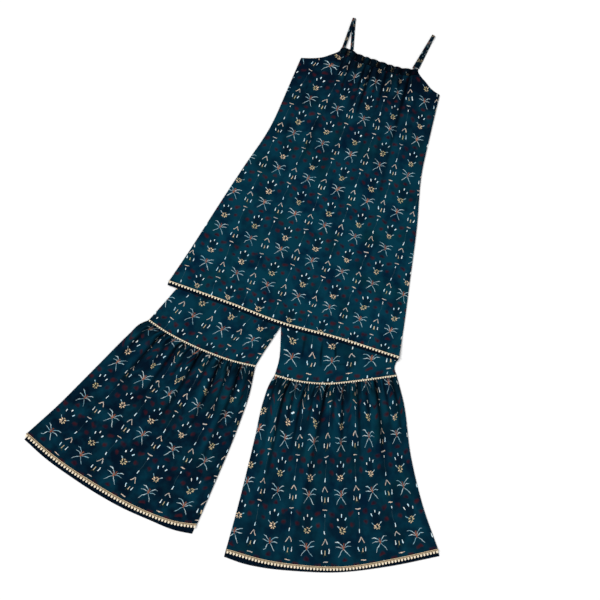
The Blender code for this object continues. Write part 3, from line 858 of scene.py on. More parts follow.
def print_group(strokes):
    """The printed cloth's colour from a place on the print, in mm."""
    tree = bpy.data.node_groups.new("printed repeat", "ShaderNodeTree")
    tree.interface.new_socket("Place", in_out="INPUT", socket_type="NodeSocketVector")
    tree.interface.new_socket("Dark", in_out="INPUT", socket_type="NodeSocketFloat")
    tree.interface.new_socket("Color", in_out="OUTPUT", socket_type="NodeSocketColor")
    nodes = Nodes(tree)
    given = nodes.add("NodeGroupInput").outputs
    place = given["Place"]

    drawn = place
    for scale, reach in ((HAND_SCALE, HAND_REACH), (NIB_SCALE, NIB_REACH)):
        stray = nodes.vector("SUBTRACT", nodes.noise(place, scale, 1.0, colour=True), MIDDLE_GREY)
        drawn = nodes.vector("ADD", drawn, nodes.vector("SCALE", stray, scale=reach))
    across, up, _ = nodes.separate(drawn)
    half = REPEAT_WIDE / 2
    cell = nodes.math("WRAP", across, half, -half)
    beside_star = nodes.math("ABSOLUTE", cell)
    beside_chain = nodes.math("SUBTRACT", half, beside_star)
    frames = {
        "star": nodes.combine(beside_star, nodes.math("WRAP", up, STAR_ROWS[1], STAR_ROWS[0])),
        "chain": nodes.combine(beside_chain, nodes.math("WRAP", up, CHAIN_ROWS[1], CHAIN_ROWS[0])),
    }

    masks = {}
    for stroke in STROKES:
        node = nodes.add("ShaderNodeGroup", node_tree=strokes)
        run = Vector((*stroke.end, 0)) - Vector((*stroke.start, 0))
        lie = (*stroke.start, 0.0)
        soft = PAINT_SOFT.get(stroke.paint, EDGE_SOFT)
        for socket, value in (
            ("Point", frames[stroke.frame]), ("From", lie), ("Along", tuple(run)),
            ("Inverse", 1.0 / run.length_squared), ("Radius", stroke.radius),
            ("Widening", stroke.tip - stroke.radius), ("Soft", soft),
        ):
            nodes.put(node.inputs[socket], value)
        mask = node.outputs["Mask"]
        if stroke.paint in masks:
            mask = nodes.math("MAXIMUM", masks[stroke.paint], mask)
        masks[stroke.paint] = mask

    colour = nodes.mix(nodes.patch(place, TEAL_PATCH), NAVY, TEAL)
    green = nodes.patch(place, GREEN_PATCH, GREEN_ASIDE)
    colour = nodes.mix(nodes.math("MULTIPLY", green, GREEN_SHARE), colour, GREEN)
    dark = nodes.patch(place, DARK_PATCH, DARK_ASIDE)
    uneven = nodes.math("MULTIPLY_ADD", dark, DARK_GAIN, DARK_LEAST)
    # Dark darkens the ground towards DEEP: the print's darker ground on flares and thighs, painted shade
    # below the neckline and on the casing, and the darker straps
    colour = nodes.mix(nodes.math("MULTIPLY", given["Dark"], uneven, clamp=True), colour, DEEP)
    worn = nodes.noise(place, *WORN)
    tone = nodes.patch(place, TONE_PATCH)
    for paint, (first, second) in PAINTS.items():
        shade = nodes.mix(tone, opaque(first), opaque(second))
        kept = nodes.rise(worn, *WEAR[paint]) if paint in WEAR else COVER[paint]
        colour = nodes.mix(nodes.math("MULTIPLY", masks[paint], kept), colour, shade)
    out = nodes.add("NodeGroupOutput")
    tree.links.new(colour, out.inputs["Color"])
    return tree


# The cloth's weave, slubs and nap; pitches and heights are in mm
WEAVE_PITCH = 0.9
WEAVE_SHARE = 0.25
WEAVE_STRENGTH = 0.35
WEAVE_HIGH = 0.12
SLUB = (1.2, 3.0, 0.7)
CLOTH_NOISE = (0.08, 2.0)
CLOTH_ROUGH, CLOTH_ROUGH_SPREAD = 0.76, 0.16
CLOTH_FIXED = {
    "Specular IOR Level": 0.012, "Sheen Weight": 0.012, "Sheen Roughness": 0.5,
    "Sheen Tint": (0.35, 0.70, 1.0, 1.0),
}
FLOOR_FIXED = {"Base Color": (0.93, 0.93, 0.93, 1.0), "Roughness": 0.9, "Specular IOR Level": 0.0}

# Gold threads by material: dark and light colour, metallic and least roughness
THREADS = {
    "gold_edging": ((0.62, 0.48, 0.28, 1.0), (0.98, 0.86, 0.64, 1.0), 0.0, 0.5),
    "gold_picots": ((0.66, 0.52, 0.34, 1.0), (0.96, 0.86, 0.68, 1.0), 0.0, 0.5),
    "gold_wide_edging": ((0.46, 0.33, 0.17, 1.0), (0.92, 0.75, 0.50, 1.0), 0.1, 0.45),
    "gold_tape": ((0.05, 0.03, 0.015, 1.0), (0.16, 0.11, 0.06, 1.0), 0.0, 0.6),
}
# Twist and unevenness of the gold threads
PLY_PITCH = 0.8
PLY_STRENGTH = 0.4
PLY_HIGH = 0.15
THREAD_NOISE = (0.5, 3.0, 0.6)
THREAD_TONE = (0.3, 0.6)
THREAD_ROUGH_SPREAD = 0.2


def weave_bump(nodes, cloth):
    """A plain weave's relief and slubs, from places on the cloth in mm."""
    across, up, _ = nodes.separate(cloth)
    pitch = 2 * math.pi / WEAVE_PITCH
    warp = nodes.math("SINE", nodes.math("MULTIPLY", across, pitch))
    weft = nodes.math("SINE", nodes.math("MULTIPLY", up, pitch))
    slub = nodes.noise(cloth, *SLUB)
    height = nodes.math("MULTIPLY_ADD", nodes.math("MULTIPLY", warp, weft), WEAVE_SHARE, slub)
    return nodes.bump(height, WEAVE_STRENGTH, WEAVE_HIGH)


def new_material(name, fixed):
    """A material, its shader and its nodes, with these shader values set all over."""
    material = bpy.data.materials.new(name)
    material.use_nodes = True
    shader = material.node_tree.nodes["Principled BSDF"]
    for socket, value in fixed.items():
        shader.inputs[socket].default_value = value
    return material, shader, Nodes(material.node_tree)


def cloth_material(name, colour_of):
    """A cotton cloth: matt, with a little nap, its colour worked out by colour_of and darkened towards
    SHADOW by painted shade.
    """
    material, shader, nodes = new_material(name, CLOTH_FIXED)
    cloth = nodes.attribute("cloth")
    crease, ground_and_painted_light, _ = nodes.separate(nodes.attribute("shade"))
    # Painted shade: the crease channel darkens the colour towards SHADOW
    colour = nodes.mix(crease, colour_of(nodes, cloth, ground_and_painted_light), SHADOW)
    nodes.put(shader.inputs["Base Color"], colour)
    nap = nodes.noise(cloth, *CLOTH_NOISE)
    rough = nodes.math("MULTIPLY_ADD", nap, CLOTH_ROUGH_SPREAD, CLOTH_ROUGH)
    nodes.put(shader.inputs["Roughness"], rough)
    nodes.put(shader.inputs["Normal"], weave_bump(nodes, cloth))
    return material


def repeat_colour(nodes, repeat, ground_and_painted_light):
    node = nodes.add("ShaderNodeGroup", node_tree=repeat)
    nodes.put(node.inputs["Place"], nodes.attribute("print"))
    nodes.put(node.inputs["Dark"], ground_and_painted_light)
    return node.outputs["Color"]


def printed_material(repeat):
    def colour_of(nodes, cloth, ground_and_painted_light):
        thread = nodes.patch(cloth, THREAD_PATCH)
        return nodes.mix(thread, repeat_colour(nodes, repeat, ground_and_painted_light), NAVY)

    return cloth_material("printed_cloth", colour_of)


def plain_material(repeat):
    def colour_of(nodes, cloth, ground_and_painted_light):
        # The wrong side's colour: partly its own, partly painted shade
        plain = nodes.mix(nodes.patch(cloth, INNER_PATCH), INNER_WITH_PAINTED_SHADE, DEEP)
        return nodes.mix(SHOW_THROUGH, plain, repeat_colour(nodes, repeat, ground_and_painted_light))

    return cloth_material("cloth_wrong_side", colour_of)


def gold_material(name, dark, light, metallic, roughness):
    """Gold and cream thread: fine twist lines and duller hollows."""
    material, shader, nodes = new_material(name, {"Metallic": metallic})
    place = nodes.vector("SCALE", nodes.add("ShaderNodeTexCoord").outputs["Object"], scale=1 / MM)
    tone = nodes.noise(place, *THREAD_NOISE)
    nodes.put(shader.inputs["Base Color"], nodes.mix(nodes.rise(tone, *THREAD_TONE), dark, light))
    x, y, z = nodes.separate(place)
    twist = nodes.math("ADD", nodes.math("ADD", x, y), z)
    ply = nodes.math("SINE", nodes.math("MULTIPLY", twist, 2 * math.pi / PLY_PITCH))
    nodes.put(shader.inputs["Normal"], nodes.bump(ply, PLY_STRENGTH, PLY_HIGH))
    rough = nodes.math("MULTIPLY_ADD", tone, THREAD_ROUGH_SPREAD, roughness)
    nodes.put(shader.inputs["Roughness"], rough)
    return material


# Garment pieces


def finish_piece(thing, node):
    """Ride on the garment's body and stand for the solid."""
    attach(thing, "root")
    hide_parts(node)
    return thing


def kameez_print(plan):
    """Where a kameez point lies on the print: gathered towards the neckline."""
    x, y = plan[..., 0], plan[..., 1]
    top = KAMEEZ_TOP[5][1]
    across = x * (1 + NECK_GATHER * np.exp(-(top - y) / NECK_GATHER_FADE))
    return np.stack((across - STAR_ACROSS, y - STAR_UP), axis=-1)


def add_kameez(look):
    top, hem = curve(KAMEEZ_TOP), curve(KAMEEZ_HEM)
    shape = panel(top, hem, curve(KAMEEZ_LEFT), curve(KAMEEZ_RIGHT))
    wide = KAMEEZ_CUT_WIDE
    columns, rows = spread(wide), spread(KAMEEZ_LONG)
    u = follow(columns, rows, NECK_CREASES)
    v = np.broadcast_to(rows[:, None], u.shape)
    column, down = columns[None, :], rows[:, None] * KAMEEZ_LONG
    plan = shape(u, v)
    base = lift(plan[..., 0], plan[..., 1])
    from_ends = np.minimum(column - CASING_START, CASING_END - column)
    inside = ramp(from_ends, NECK_SIDE_START, NECK_SIDE_FULL)
    swell = swell_height(column, down, NECK_CREASES, NECK_SWELL, KAMEEZ_LONG)
    pucker = pucker_height(column, down, wide, NECK_PUCKER, NECK_PUCKER_SEED)
    fold, fold_painted_shade = lay_folds(plan, KAMEEZ_FOLDS)
    near = np.minimum(u, 1 - u) * wide
    fold = fold * ramp(near, 0, SIDE_FADE)
    under = base + WALL + GAP + inside * (swell + pucker) + fold - seam_dip(u, wide)
    thick = edge_thickness(u, v, wide, KAMEEZ_LONG)
    # Painted shade in the neckline's creases and between its puckers
    crease = crease_painted_shade(column, down, NECK_CREASES)
    crease = np.maximum(crease, pucker_painted_shade(NECK_PUCKER, pucker, down)) * inside
    # Painted shade of the dense gathers, darkest below the neckline and fading down the kameez, less a
    # painted highlight beside the creases
    ground_and_painted_light = NECK_PAINTED_SHADE * np.exp(-down / NECK_PAINTED_SHADE_FADE)
    ground_and_painted_light = np.clip(ground_and_painted_light - NECK_LIT * inside * lit_flank(column, down, NECK_CREASES), 0, 1)
    shade = (np.maximum(NECK_CREASE_PAINTED_SHADE * crease, fold_painted_shade), ground_and_painted_light)
    hidden = NECK_HIDDEN * wide * (1 - ramp(down, 0, NECK_HIDDEN_DOWN)) * inside
    print_at = kameez_print(plan)
    print_at[..., 0] += hidden * hidden_cloth(column, NECK_CREASES)
    print_at += broken_print(column, down, NECK_BREAK, NECK_BREAK_SEED) * inside[..., None]
    front = add_shell("kameez_front_cloth", plan, under, thick, print_at, plan, look.front, shade)
    finish_piece(front, "kameez_front")

    ends = top(np.array((CASING_START, CASING_END)))[:, 0]
    past = np.maximum(np.maximum(ends[0] - plan[0, :, 0], plan[0, :, 0] - ends[1]), 0)
    beside = BACK_ABOVE_ARMHOLE + ARMHOLE_RISE * np.exp(-past / ARMHOLE_RUN)
    above = np.where((columns >= CASING_START) & (columns <= CASING_END), CASING_DEEP, beside)
    steps = np.linspace(1, 0, BACK_ROWS + 1)[:-1]
    over = [plan[0] + np.stack((0 * above, above * step), axis=-1) for step in steps]
    below = [plan[-1] - np.array((0, BACK_HEM_DROP * step)) for step in steps[::-1]]
    back_plan = np.concatenate((np.array(over), plan, np.array(below)))
    back_base = lift(back_plan[..., 0], back_plan[..., 1])
    back_u = np.concatenate((u[:1].repeat(len(steps), 0), u, u[-1:].repeat(len(steps), 0)))
    back_v = np.linspace(0, 1, len(back_plan))[:, None] + 0 * back_u
    back_thick = edge_thickness(back_u, back_v, wide, KAMEEZ_LONG)
    back = add_shell(
        "kameez_back_cloth", back_plan, back_base + (WALL - back_thick) * 0.5, back_thick,
        kameez_print(back_plan), back_plan, look.back,
    )
    finish_piece(back, "kameez_back")
    trim = add_edging(
        "kameez_hem_edging", hem, KAMEEZ_EDGING, KAMEEZ_TEETH,
        lambda x, y: lift(x, y) + 2 * (WALL + GAP), look.gold,
    )
    finish_piece(trim, "kameez_hem_trim")
    casing, casing_top = add_casing(top, look)
    for strap in STRAPS:
        add_strap(strap, casing_top, back_plan[0], look)


def add_casing(seam, look):
    """The strip that the neckline is gathered into: rounded lumps with fine wrinkles, darkened by
    painted shade.
    """
    share = np.linspace(0, 1, CASING_LUMPS * CASING_LUMP_POINTS + 1)[None, :]
    row = np.linspace(0, 1, CASING_ROWS + 1)[:, None]
    edge = seam(CASING_START + (CASING_END - CASING_START) * share[0])
    uneven = share + CASING_UNEVEN * np.sin(2 * math.pi * share * CASING_UNEVEN_WAVES)
    uneven = (uneven - uneven[0, 0]) / (uneven[0, -1] - uneven[0, 0])
    lump = np.abs(np.sin(math.pi * uneven * CASING_LUMPS)) ** CASING_LUMP_SHAPE
    bulge = np.sin(math.pi * row)
    turns = uneven * CASING_LUMPS * math.pi * WRINKLES_A_LUMP + row * WRINKLE_LEAN
    wrinkle = WRINKLE_HIGH * np.sin(turns) * bulge
    swell = CASING_LUMP_EDGE + (1 - CASING_LUMP_EDGE) * bulge
    rise = CASING_LUMP_HIGH * lump * swell + wrinkle * lump
    ends = 1 - CASING_END_DROP * (1 - ramp(np.minimum(share, 1 - share), 0, CASING_END_RUN))
    deep = GAP + ((CASING_DEEP - GAP) * ends + CASING_LUMP_OUT * (lump - CASING_LUMP_MEAN)) * row
    x = np.broadcast_to(edge[None, :, 0], deep.shape)
    y = edge[None, :, 1] + deep
    plan = np.stack((x, y), axis=-1)
    near = np.minimum(row, 1 - row) * CASING_DEEP
    round_off = 1 - np.clip(1 - near / CASING_EDGE_ROUND, 0, 1) ** 2
    thick = WALL * (EDGE_THIN + (1 - EDGE_THIN) * np.sqrt(round_off))
    thick = np.broadcast_to(thick, rise.shape)
    print_at = np.stack((x * CASING_GATHER, y), axis=-1)
    # Painted shade over the whole strip, deeper in the valleys between its lumps
    valley = (1 - CASING_PAINTED_SHADE) * (1 - lump) * CASING_VALLEY_PAINTED_SHADE
    dark = np.clip(CASING_PAINTED_SHADE + valley, 0, 1) + 0 * deep
    casing = add_shell(
        "neck_casing_cloth", plan, FRONT_LEVEL + np.maximum(rise, 0), thick, print_at, plan,
        look.front, (dark, dark),
    )
    finish_piece(casing, "neck_casing")
    return casing, plan[-1]


def seat(edge, across, fold):
    """Where a strap's leg starts: a seam's gap above the highest point of the edge under its end."""
    reach = np.linspace(across - STRAP_WIDE / 2, across + STRAP_WIDE / 2, STRAP_SEAT_POINTS)
    up = max(np.interp(reach, edge[:, 0], edge[:, 1]))
    tilt = abs(fold[0] - across) / math.hypot(fold[0] - across, fold[1] - up)
    return np.array((across, up + GAP + tilt * STRAP_WIDE / 2))


def strap_path(strap, front_edge, back_edge):
    """Centre points of a strap with their direction and face, up the front leg and down the back."""
    low = BACK_LEVEL + STRAP_THICK / 2
    high = BACK_LEVEL + WALL + STRAP_APART + STRAP_THICK / 2
    turn = (high - low) / 2
    fold = np.array(strap.fold, float)
    front, back = seat(front_edge, strap.front_foot, fold), seat(back_edge, strap.back_foot, fold)
    up_front = (fold - front) / np.hypot(*(fold - front))
    up_back = (fold - back) / np.hypot(*(fold - back))
    path = []
    for share in np.linspace(0, 1, STRAP_LEG_POINTS)[:-1]:
        path.append((*(front + (fold - front) * share), high, up_front, (0, 0, 1)))
    for share in np.linspace(0, 1, STRAP_TURN_POINTS):
        angle = math.pi * share
        ahead = up_front * (1 - share) + up_back * share
        ahead /= np.hypot(*ahead)
        x, y = fold + ahead * turn * math.sin(angle)
        face = (*(ahead * math.sin(angle)), math.cos(angle))
        path.append((x, y, low + turn * (1 + math.cos(angle)), ahead, face))
    for share in np.linspace(1, 0, STRAP_LEG_POINTS)[1:]:
        path.append((*(back + (fold - back) * share), low, up_back, (0, 0, -1)))
    return path


# Half of a strap's section: across and out, as shares of its half width and half thickness
STRAP_SECTION = (
    (-1.0, 0.0), (-0.96, 0.55), (-0.82, 0.95), (-0.70, 0.80), (-0.58, 1.0), (0.0, 0.92),
    (0.58, 1.0), (0.70, 0.80), (0.82, 0.95), (0.96, 0.55),
)


def add_strap(strap, front_edge, back_edge, look):
    """A narrow folded strap with a stitched groove along each edge."""
    path = strap_path(strap, front_edge, back_edge)
    section = list(STRAP_SECTION) + [(-across, -out) for across, out in STRAP_SECTION]
    vertices, spots = [], []
    run, last = 0.0, None
    for x, y, z, ahead, face in path:
        centre = np.array((x, y, z))
        run += 0.0 if last is None else float(np.linalg.norm(centre - last))
        last = centre
        aside = np.array((ahead[1], -ahead[0], 0)) * STRAP_WIDE / 2
        out = np.array(face) * STRAP_THICK / 2
        for across, high in section:
            vertices.append(centre + aside * across + out * high)
            spots.append((across * STRAP_WIDE / 2 + STRAP_PRINT_ASIDE, run * STRAP_PRINT_RUN))
    faces = ring_faces(len(path), len(section))
    thing = add_mesh("strap_cloth_" + strap.side, vertices, faces, look.front[:1])
    spots = np.array(spots)
    mark(thing, "print", spots * np.array((STRAP_PRINT_SQUEEZE, 1.0)))
    mark(thing, "cloth", spots)
    mark(thing, "shade", np.full(spots.shape, STRAP_DARK))
    finish_piece(thing, "strap_" + strap.side)


def flare_print(column, down, side):
    """Where a flare's point lies on the print."""
    wide, high = REPEAT_WIDE / FLARE_REPEAT_WIDE, REPEAT_HIGH / FLARE_REPEAT_HIGH
    across = (column - FLARE_STAR_SHARE[side]) * FLARE_CUT_WIDE[side] * wide
    up = (FLARE_STAR_DOWN - down) * high
    return np.stack(np.broadcast_arrays(across, up), axis=-1)


def add_flare(leg, creases, look):
    """One leg's gathered flare, front and back, and the edgings on its seam and hem."""
    knee = curve(leg.knee)
    top, hem, left, right = (
        moved(curve(edge), 0, -GAP / 2) for edge in (leg.knee, leg.hem, leg.flare_left, leg.flare_right)
    )
    wide = FLARE_CUT_WIDE[leg.side]
    columns, rows = spread(wide), spread(FLARE_LONG)
    u = follow(columns, rows, creases)
    v = np.broadcast_to(rows[:, None], u.shape)
    column, down = columns[None, :], rows[:, None] * FLARE_LONG
    plan = panel(top, hem, left, right)(u, v)
    swell = swell_height(column, down, creases, FLARE_SWELL, FLARE_LONG)
    seam_long = np.hypot(*(np.array(leg.knee[0]) - np.array(leg.knee[-1])))
    pucker = pucker_height(column, down, seam_long, FLARE_PUCKER, FLARE_PUCKER_SEED[leg.side])
    under = FRONT_LEVEL + swell + pucker * ramp(np.minimum(column, 1 - column), 0, SIDE_ROUND)
    under = under - seam_dip(u, wide)
    thick = edge_thickness(u, v, wide, FLARE_LONG)
    hidden = FLARE_HIDDEN * (1 - ramp(down, 0, FLARE_HIDDEN_DOWN)) * hidden_cloth(column, creases)
    print_at = flare_print(u + hidden, down, leg.side)
    print_at += broken_print(column, down, FLARE_BREAK, FLARE_BREAK_SEED[leg.side])
    cloth_at = np.stack(np.broadcast_arrays(u * wide, down), axis=-1)
    # Painted shade in the flare's creases and between its puckers
    crease = crease_painted_shade(column, down, creases) * ramp(down, 0, FLARE_SEAM_CLEAR)
    crease = np.maximum(crease, pucker_painted_shade(FLARE_PUCKER, pucker, down))
    # The print's darker ground on the flare, less a painted highlight beside the creases
    ground_and_painted_light = np.clip(FLARE_GROUND[leg.side] - FLARE_LIT * lit_flank(column, down, creases), 0, 1)
    front = add_shell(
        "flare_front_cloth_" + leg.side, plan, under, thick, print_at, cloth_at, look.front,
        (crease, ground_and_painted_light),
    )
    finish_piece(front, "flare_front_" + leg.side)

    back_left = curve((top(0), *leg.flare_left[1:-1], leg.back_hem[0]))
    back_right = curve((top(1), *leg.flare_right[1:-1], leg.back_hem[-1]))
    back_u, back_v = np.meshgrid(spread(wide, BACK_FINE), spread(FLARE_LONG, BACK_FINE))
    back_plan = panel(top, curve(leg.back_hem), back_left, back_right)(back_u, back_v)
    back_cloth = np.stack((back_u * wide, back_v * FLARE_LONG), axis=-1)
    back_thick = edge_thickness(back_u, back_v, wide, FLARE_LONG)
    back = add_shell(
        "flare_back_cloth_" + leg.side, back_plan, BACK_LEVEL + (WALL - back_thick) * 0.5,
        back_thick, flare_print(back_u, back_v * FLARE_LONG, leg.side), back_cloth, look.back,
    )
    finish_piece(back, "flare_back_" + leg.side)

    def trim_level(x, y):
        return FRONT_LEVEL + WALL + GAP + 0 * x

    knee_trim = add_edging(
        "knee_edging_" + leg.side, knee, NARROW_EDGING, KNEE_TEETH[leg.side], trim_level, look.gold
    )
    hem_trim = add_edging(
        "flare_hem_edging_" + leg.side, hem, WIDE_EDGING, HEM_TEETH[leg.side], trim_level,
        look.wide_gold,
    )
    finish_piece(knee_trim, "knee_trim_" + leg.side)
    finish_piece(hem_trim, "flare_hem_trim_" + leg.side)


def add_thigh(leg, look):
    """One leg's upper front and back, from the waistband to the knee seam."""
    seam_side = -GAP / 2 if leg.side == "left" else GAP / 2
    seam = moved(curve(CENTRE_SEAM), seam_side, 0)
    middle = joined(seam, moved(curve(leg.inner), seam_side, 0), SEAM_SHARE)
    outer = curve(leg.outer)
    left, right = (outer, middle) if leg.side == "left" else (middle, outer)
    waist = curve((left(0), right(0)))
    knee = moved(curve(leg.knee), 0, GAP / 2)
    wide, long = THIGH_CUT, THIGH_CUT

    def lay(fine):
        u, v = np.meshgrid(spread(wide, fine), spread(long, fine))
        plan = panel(waist, knee, left, right)(u, v)
        row_wide = np.hypot(*np.moveaxis(plan[:, -1] - plan[:, 0], -1, 0))[:, None]
        scale_across, scale_up = THIGH_SCALE[leg.side]
        across = (u - THIGH_STAR_SHARE[leg.side]) * row_wide / scale_across
        up = ((1 - v) * long - THIGH_STAR_ABOVE_KNEE[leg.side]) / scale_up
        return u, v, plan, edge_thickness(u, v, wide, long), np.stack((across, up), axis=-1)

    u, v, plan, thick, print_at = lay(THIGH_FINE[leg.side])
    fold, fold_painted_shade = lay_folds(plan, THIGH_FOLDS[leg.side])
    hem_line = np.interp(plan[..., 0], *np.array(KAMEEZ_HEM).T) - BACK_HEM_DROP
    shown = ramp(hem_line - plan[..., 1], UNDER_HEM, UNDER_HEM + SIDE_FADE)
    fold = fold * shown * ramp((1 - v) * long, 0, SIDE_FADE)
    front_under = FRONT_LEVEL - seam_dip(u, wide) + fold
    front = add_shell(
        "thigh_front_cloth_" + leg.side, plan, front_under, thick, print_at, plan, look.front,
        (fold_painted_shade, THIGH_GROUND),
    )
    finish_piece(front, "thigh_front_" + leg.side)
    u, v, plan, thick, print_at = lay(BACK_FINE)
    back = add_shell(
        "thigh_back_cloth_" + leg.side, plan, BACK_LEVEL + (WALL - thick) * 0.5, thick, print_at,
        plan, look.back,
    )
    finish_piece(back, "thigh_back_" + leg.side)


def add_waistband(look):
    top = curve(WAIST_TOP)
    low = moved(top, 0, GAP - WAISTBAND_DEEP)
    u, v = np.meshgrid(spread(WAISTBAND_WIDE, BAND_FINE), spread(WAISTBAND_DEEP, BAND_FINE))
    plan = panel(top, low, curve((top(0), low(0))), curve((top(1), low(1))))(u, v)
    thick = edge_thickness(u, v, WAISTBAND_WIDE, WAISTBAND_DEEP)
    front = add_shell("waistband_front_cloth", plan, FRONT_LEVEL + 0 * u, thick, plan, plan, look.front)
    finish_piece(front, "waistband_front")
    back = add_shell("waistband_back_cloth", plan, BACK_LEVEL + 0 * u, thick, plan, plan, look.back)
    finish_piece(back, "waistband_back")


# Gold edgings


def beside(edge, t, out):
    """The point this far out from an edge, square to it."""
    t = np.asarray(t, float)
    ahead = edge(np.minimum(t + EDGE_STEP, 1.0)) - edge(np.maximum(t - EDGE_STEP, 0.0))
    ahead /= np.linalg.norm(ahead, axis=-1, keepdims=True)
    aside = np.stack((ahead[..., 1], -ahead[..., 0]), axis=-1)
    return edge(t) + np.asarray(out)[..., None] * aside


def tube(points, radii, sides):
    """Vertices and faces of a closed tube of round section along points in mm."""
    points = np.asarray(points, float)
    radii = np.broadcast_to(radii, (len(points),))
    ahead = np.gradient(points, axis=0)
    ahead /= np.linalg.norm(ahead, axis=1, keepdims=True)
    aside = np.cross(ahead, (0, 0, 1.0))
    aside /= np.linalg.norm(aside, axis=1, keepdims=True)
    up = np.cross(aside, ahead)
    angles = np.linspace(0, 2 * math.pi, sides, endpoint=False)
    rings = [
        points + radii[:, None] * (math.cos(angle) * aside + math.sin(angle) * up) for angle in angles
    ]
    return np.stack(rings, axis=1).reshape(-1, 3), ring_faces(len(points), sides)


# A round picot's profile: radius and height as shares of its own radius and thickness
PICOT_PROFILE = ((0.25, 0.80), (0.55, 0.92), (0.80, 1.0), (0.97, 0.72), (1.0, 0.42), (0.86, 0.10))
PICOT_DIMPLE = 0.72
PICOT_KNOT = 0.06
PICOT_KNOTS = 3
PICOT_SIDES = 12


def picot(centre, wide, long, thick, ahead):
    """A knotted round of thread lying flat: half as wide as wide, half as long as long."""
    sides = PICOT_SIDES
    aside = np.array((ahead[1], -ahead[0]))
    vertices = [(*centre[:2], centre[2] + PICOT_DIMPLE * thick)]
    for share, high in PICOT_PROFILE:
        for i in range(sides):
            angle = 2 * math.pi * i / sides
            offset = share * (wide * math.cos(angle) * ahead + long * math.sin(angle) * aside)
            knot = 1 + PICOT_KNOT * math.cos(PICOT_KNOTS * angle)
            vertices.append((*(centre[:2] + offset * knot), centre[2] + high * thick))
    vertices.append((*centre[:2], centre[2] + PICOT_PROFILE[-1][1] * thick / 2))
    faces = [(0, 1 + i, 1 + (i + 1) % sides) for i in range(sides)]
    for ring in range(len(PICOT_PROFILE) - 1):
        for i in range(sides):
            a, b = 1 + ring * sides + i, 1 + ring * sides + (i + 1) % sides
            faces.append((a, a + sides, b + sides, b))
    last = 1 + (len(PICOT_PROFILE) - 1) * sides
    faces += [(last + (i + 1) % sides, last + i, len(vertices) - 1) for i in range(sides)]
    return np.array(vertices), faces


class Heap:
    """Many small solids gathered into one mesh, each with its own material slot."""

    def __init__(self):
        self.vertices, self.faces, self.picks = [], [], []

    def add(self, solid, pick):
        vertices, faces = solid
        start = sum(len(block) for block in self.vertices)
        self.vertices.append(np.asarray(vertices, float))
        self.faces += [tuple(start + i for i in face) for face in faces]
        self.picks += [pick] * len(faces)

    def build(self, name, materials):
        return add_mesh(name, np.concatenate(self.vertices), self.faces, materials, self.picks)


def twisted_cord(heap, edge, out, thick, t, long, level):
    """Two strands twisted round each other along an edge."""
    strand = thick / 4
    for turn in (0, math.pi):
        phase = 2 * math.pi * t * long / CORD_LAY + turn
        spot = beside(edge, t, out + strand * np.cos(phase))
        high = level(spot[:, 0], spot[:, 1]) + CORD_SEAT + 2 * strand + strand * np.sin(phase)
        heap.add(tube(np.column_stack((spot, high)), strand * CORD_FULL, STRAND_SIDES), 0)


def add_edging(name, edge, edging, teeth, level, threads):
    """Twisted cords on a thin tape inside an edge, with a row of knotted picots past it."""
    heap = Heap()
    sample = edge(np.linspace(0, 1, EDGE_SAMPLES))
    long = float(np.hypot(*np.diff(sample, axis=0).T).sum())
    steps = int(long / CORD_STEP)
    t = np.linspace(0, 1, steps + 1)
    reach = (edging.braid - edging.cord_thick) / 2
    for out in np.linspace(-reach, reach, edging.cords) if edging.cords > 1 else (reach,):
        twisted_cord(heap, edge, out - edging.braid / 2, edging.cord_thick, t, long, level)
    tape = np.stack((beside(edge, t, TAPE_INSET - edging.braid), beside(edge, t, -TAPE_INSET)), axis=1)
    seat_level = level(tape[..., 0], tape[..., 1])
    low = np.concatenate((tape, (seat_level + TAPE_CLEAR)[..., None]), axis=2).reshape(-1, 3)
    high = low + np.array((0, 0, TAPE_THICK))
    quads = [(2 * i, 2 * i + 1, 2 * i + 3, 2 * i + 2) for i in range(steps)]
    count = len(low)
    faces = [tuple(count + i for i in quad[::-1]) for quad in quads] + quads
    rim = [2 * i for i in range(steps + 1)] + [2 * i + 1 for i in range(steps, -1, -1)]
    faces += [(b, a, a + count, b + count) for a, b in zip(rim, rim[1:] + rim[:1])]
    heap.add((np.concatenate((low, high)), faces), 2)
    for i in range(teeth):
        add_tooth(heap, edge, edging, (i + 0.5) / teeth, long / teeth, level)
    return heap.build(name, threads)


def add_tooth(heap, edge, edging, t, pitch, level):
    """One tooth: a knotted picot on two short threads."""
    middle = beside(edge, t, 0.0)
    ahead = beside(edge, t + EDGE_STEP, 0.0) - middle
    ahead /= np.hypot(*ahead)
    aside = np.array((ahead[1], -ahead[0]))
    base = float(level(middle[0], middle[1]))
    wide, long = edging.fill * pitch / 2, (edging.tooth + TOOTH_TUCK) / 2
    centre = middle + aside * (long - TOOTH_TUCK)
    for side in (-1, 1):
        root = middle + ahead * side * wide * TOOTH_ROOT_SHARE - aside * edging.braid / 2
        tip = centre + ahead * side * wide * TOOTH_TIP_SHARE
        ends = [(*root, base + TOOTH_THREAD), (*tip, base + TOOTH_THREAD)]
        heap.add(tube(ends, TOOTH_THREAD, THREAD_SIDES), 1)
    heap.add(picot(np.array((*centre, base)), wide, long, TOOTH_THICK, ahead), 1)


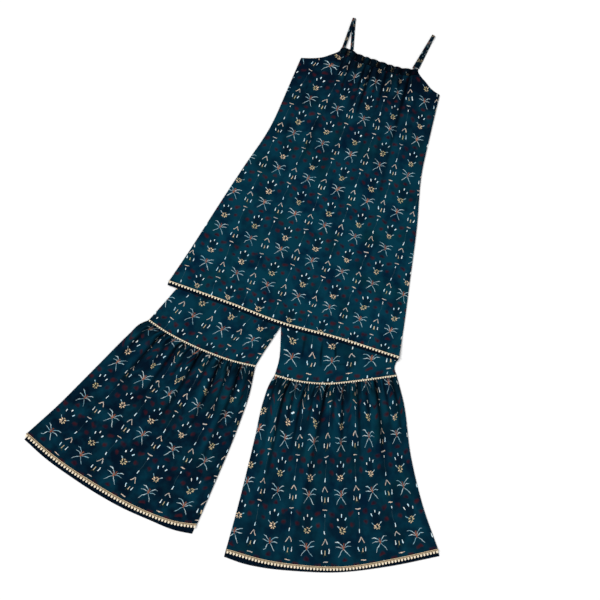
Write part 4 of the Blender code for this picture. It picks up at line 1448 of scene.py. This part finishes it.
def add_stage(floor):
    mesh = bpy.data.meshes.new("floor")
    corners = [(x * FLOOR_HALF, y * FLOOR_HALF, FLOOR_LEVEL) for x, y in FLOOR_CORNERS]
    mesh.from_pydata(corners, [], [(0, 1, 2, 3)])
    mesh.materials.append(floor)
    add_object("floor", mesh)


def on_table(across, up, high=0.0):
    return Vector((np.array((across, up, 0.0)) + SHIFT) * MM) + Vector((0, 0, high))


def add_camera():
    data = bpy.data.cameras.new("camera")
    data.sensor_fit = "HORIZONTAL"
    data.sensor_width = SENSOR_WIDE
    data.lens = data.sensor_width * VIEW_HIGH / (VIEW_SIDE * MM)
    data.clip_end = VIEW_CLIP
    camera = add_object("camera", data)
    camera.location = on_table(*VIEW_MIDDLE, VIEW_HIGH)
    camera.rotation_euler = (0.0, 0.0, VIEW_TURN)
    bpy.context.scene.camera = camera


def add_light_set():
    """Soft daylight all round, and a broad soft sun from the left, past the straps."""
    world = bpy.data.worlds.new("studio")
    world.use_nodes = True
    back = world.node_tree.nodes["Background"]
    back.inputs["Color"].default_value = (1.0, 1.0, 1.0, 1.0)
    back.inputs["Strength"].default_value = WORLD_LIGHT
    bpy.context.scene.world = world
    data = bpy.data.lights.new("window", "SUN")
    data.energy = SUN_LIGHT
    data.angle = SUN_SOFT
    light = add_object("window", data)
    towards = Matrix.Rotation(VIEW_TURN, 4, "Z") @ Vector(SUN_FROM)
    light.rotation_euler = towards.to_track_quat("Z", "Y").to_euler()
    bpy.context.scene.view_settings.view_transform = "Standard"


Look = namedtuple("Look", "front back gold wide_gold")


def main():
    add_camera()
    repeat = print_group(stroke_group())
    printed, plain = printed_material(repeat), plain_material(repeat)
    cord, cream, wide_cord, tape = (gold_material(name, *THREADS[name]) for name in THREADS)
    look = Look(
        front=(printed, plain), back=(plain, printed), gold=(cord, cream, tape),
        wide_gold=(wide_cord, cream, tape),
    )
    add_waistband(look)
    for leg, creases in ((LEFT_LEG, LEFT_CREASES), (RIGHT_LEG, RIGHT_CREASES)):
        add_thigh(leg, look)
        add_flare(leg, creases, look)
    add_kameez(look)
    add_stage(new_material("pale floor", FLOOR_FIXED)[0])
    add_light_set()


main()
bpy.context.view_layer.update()
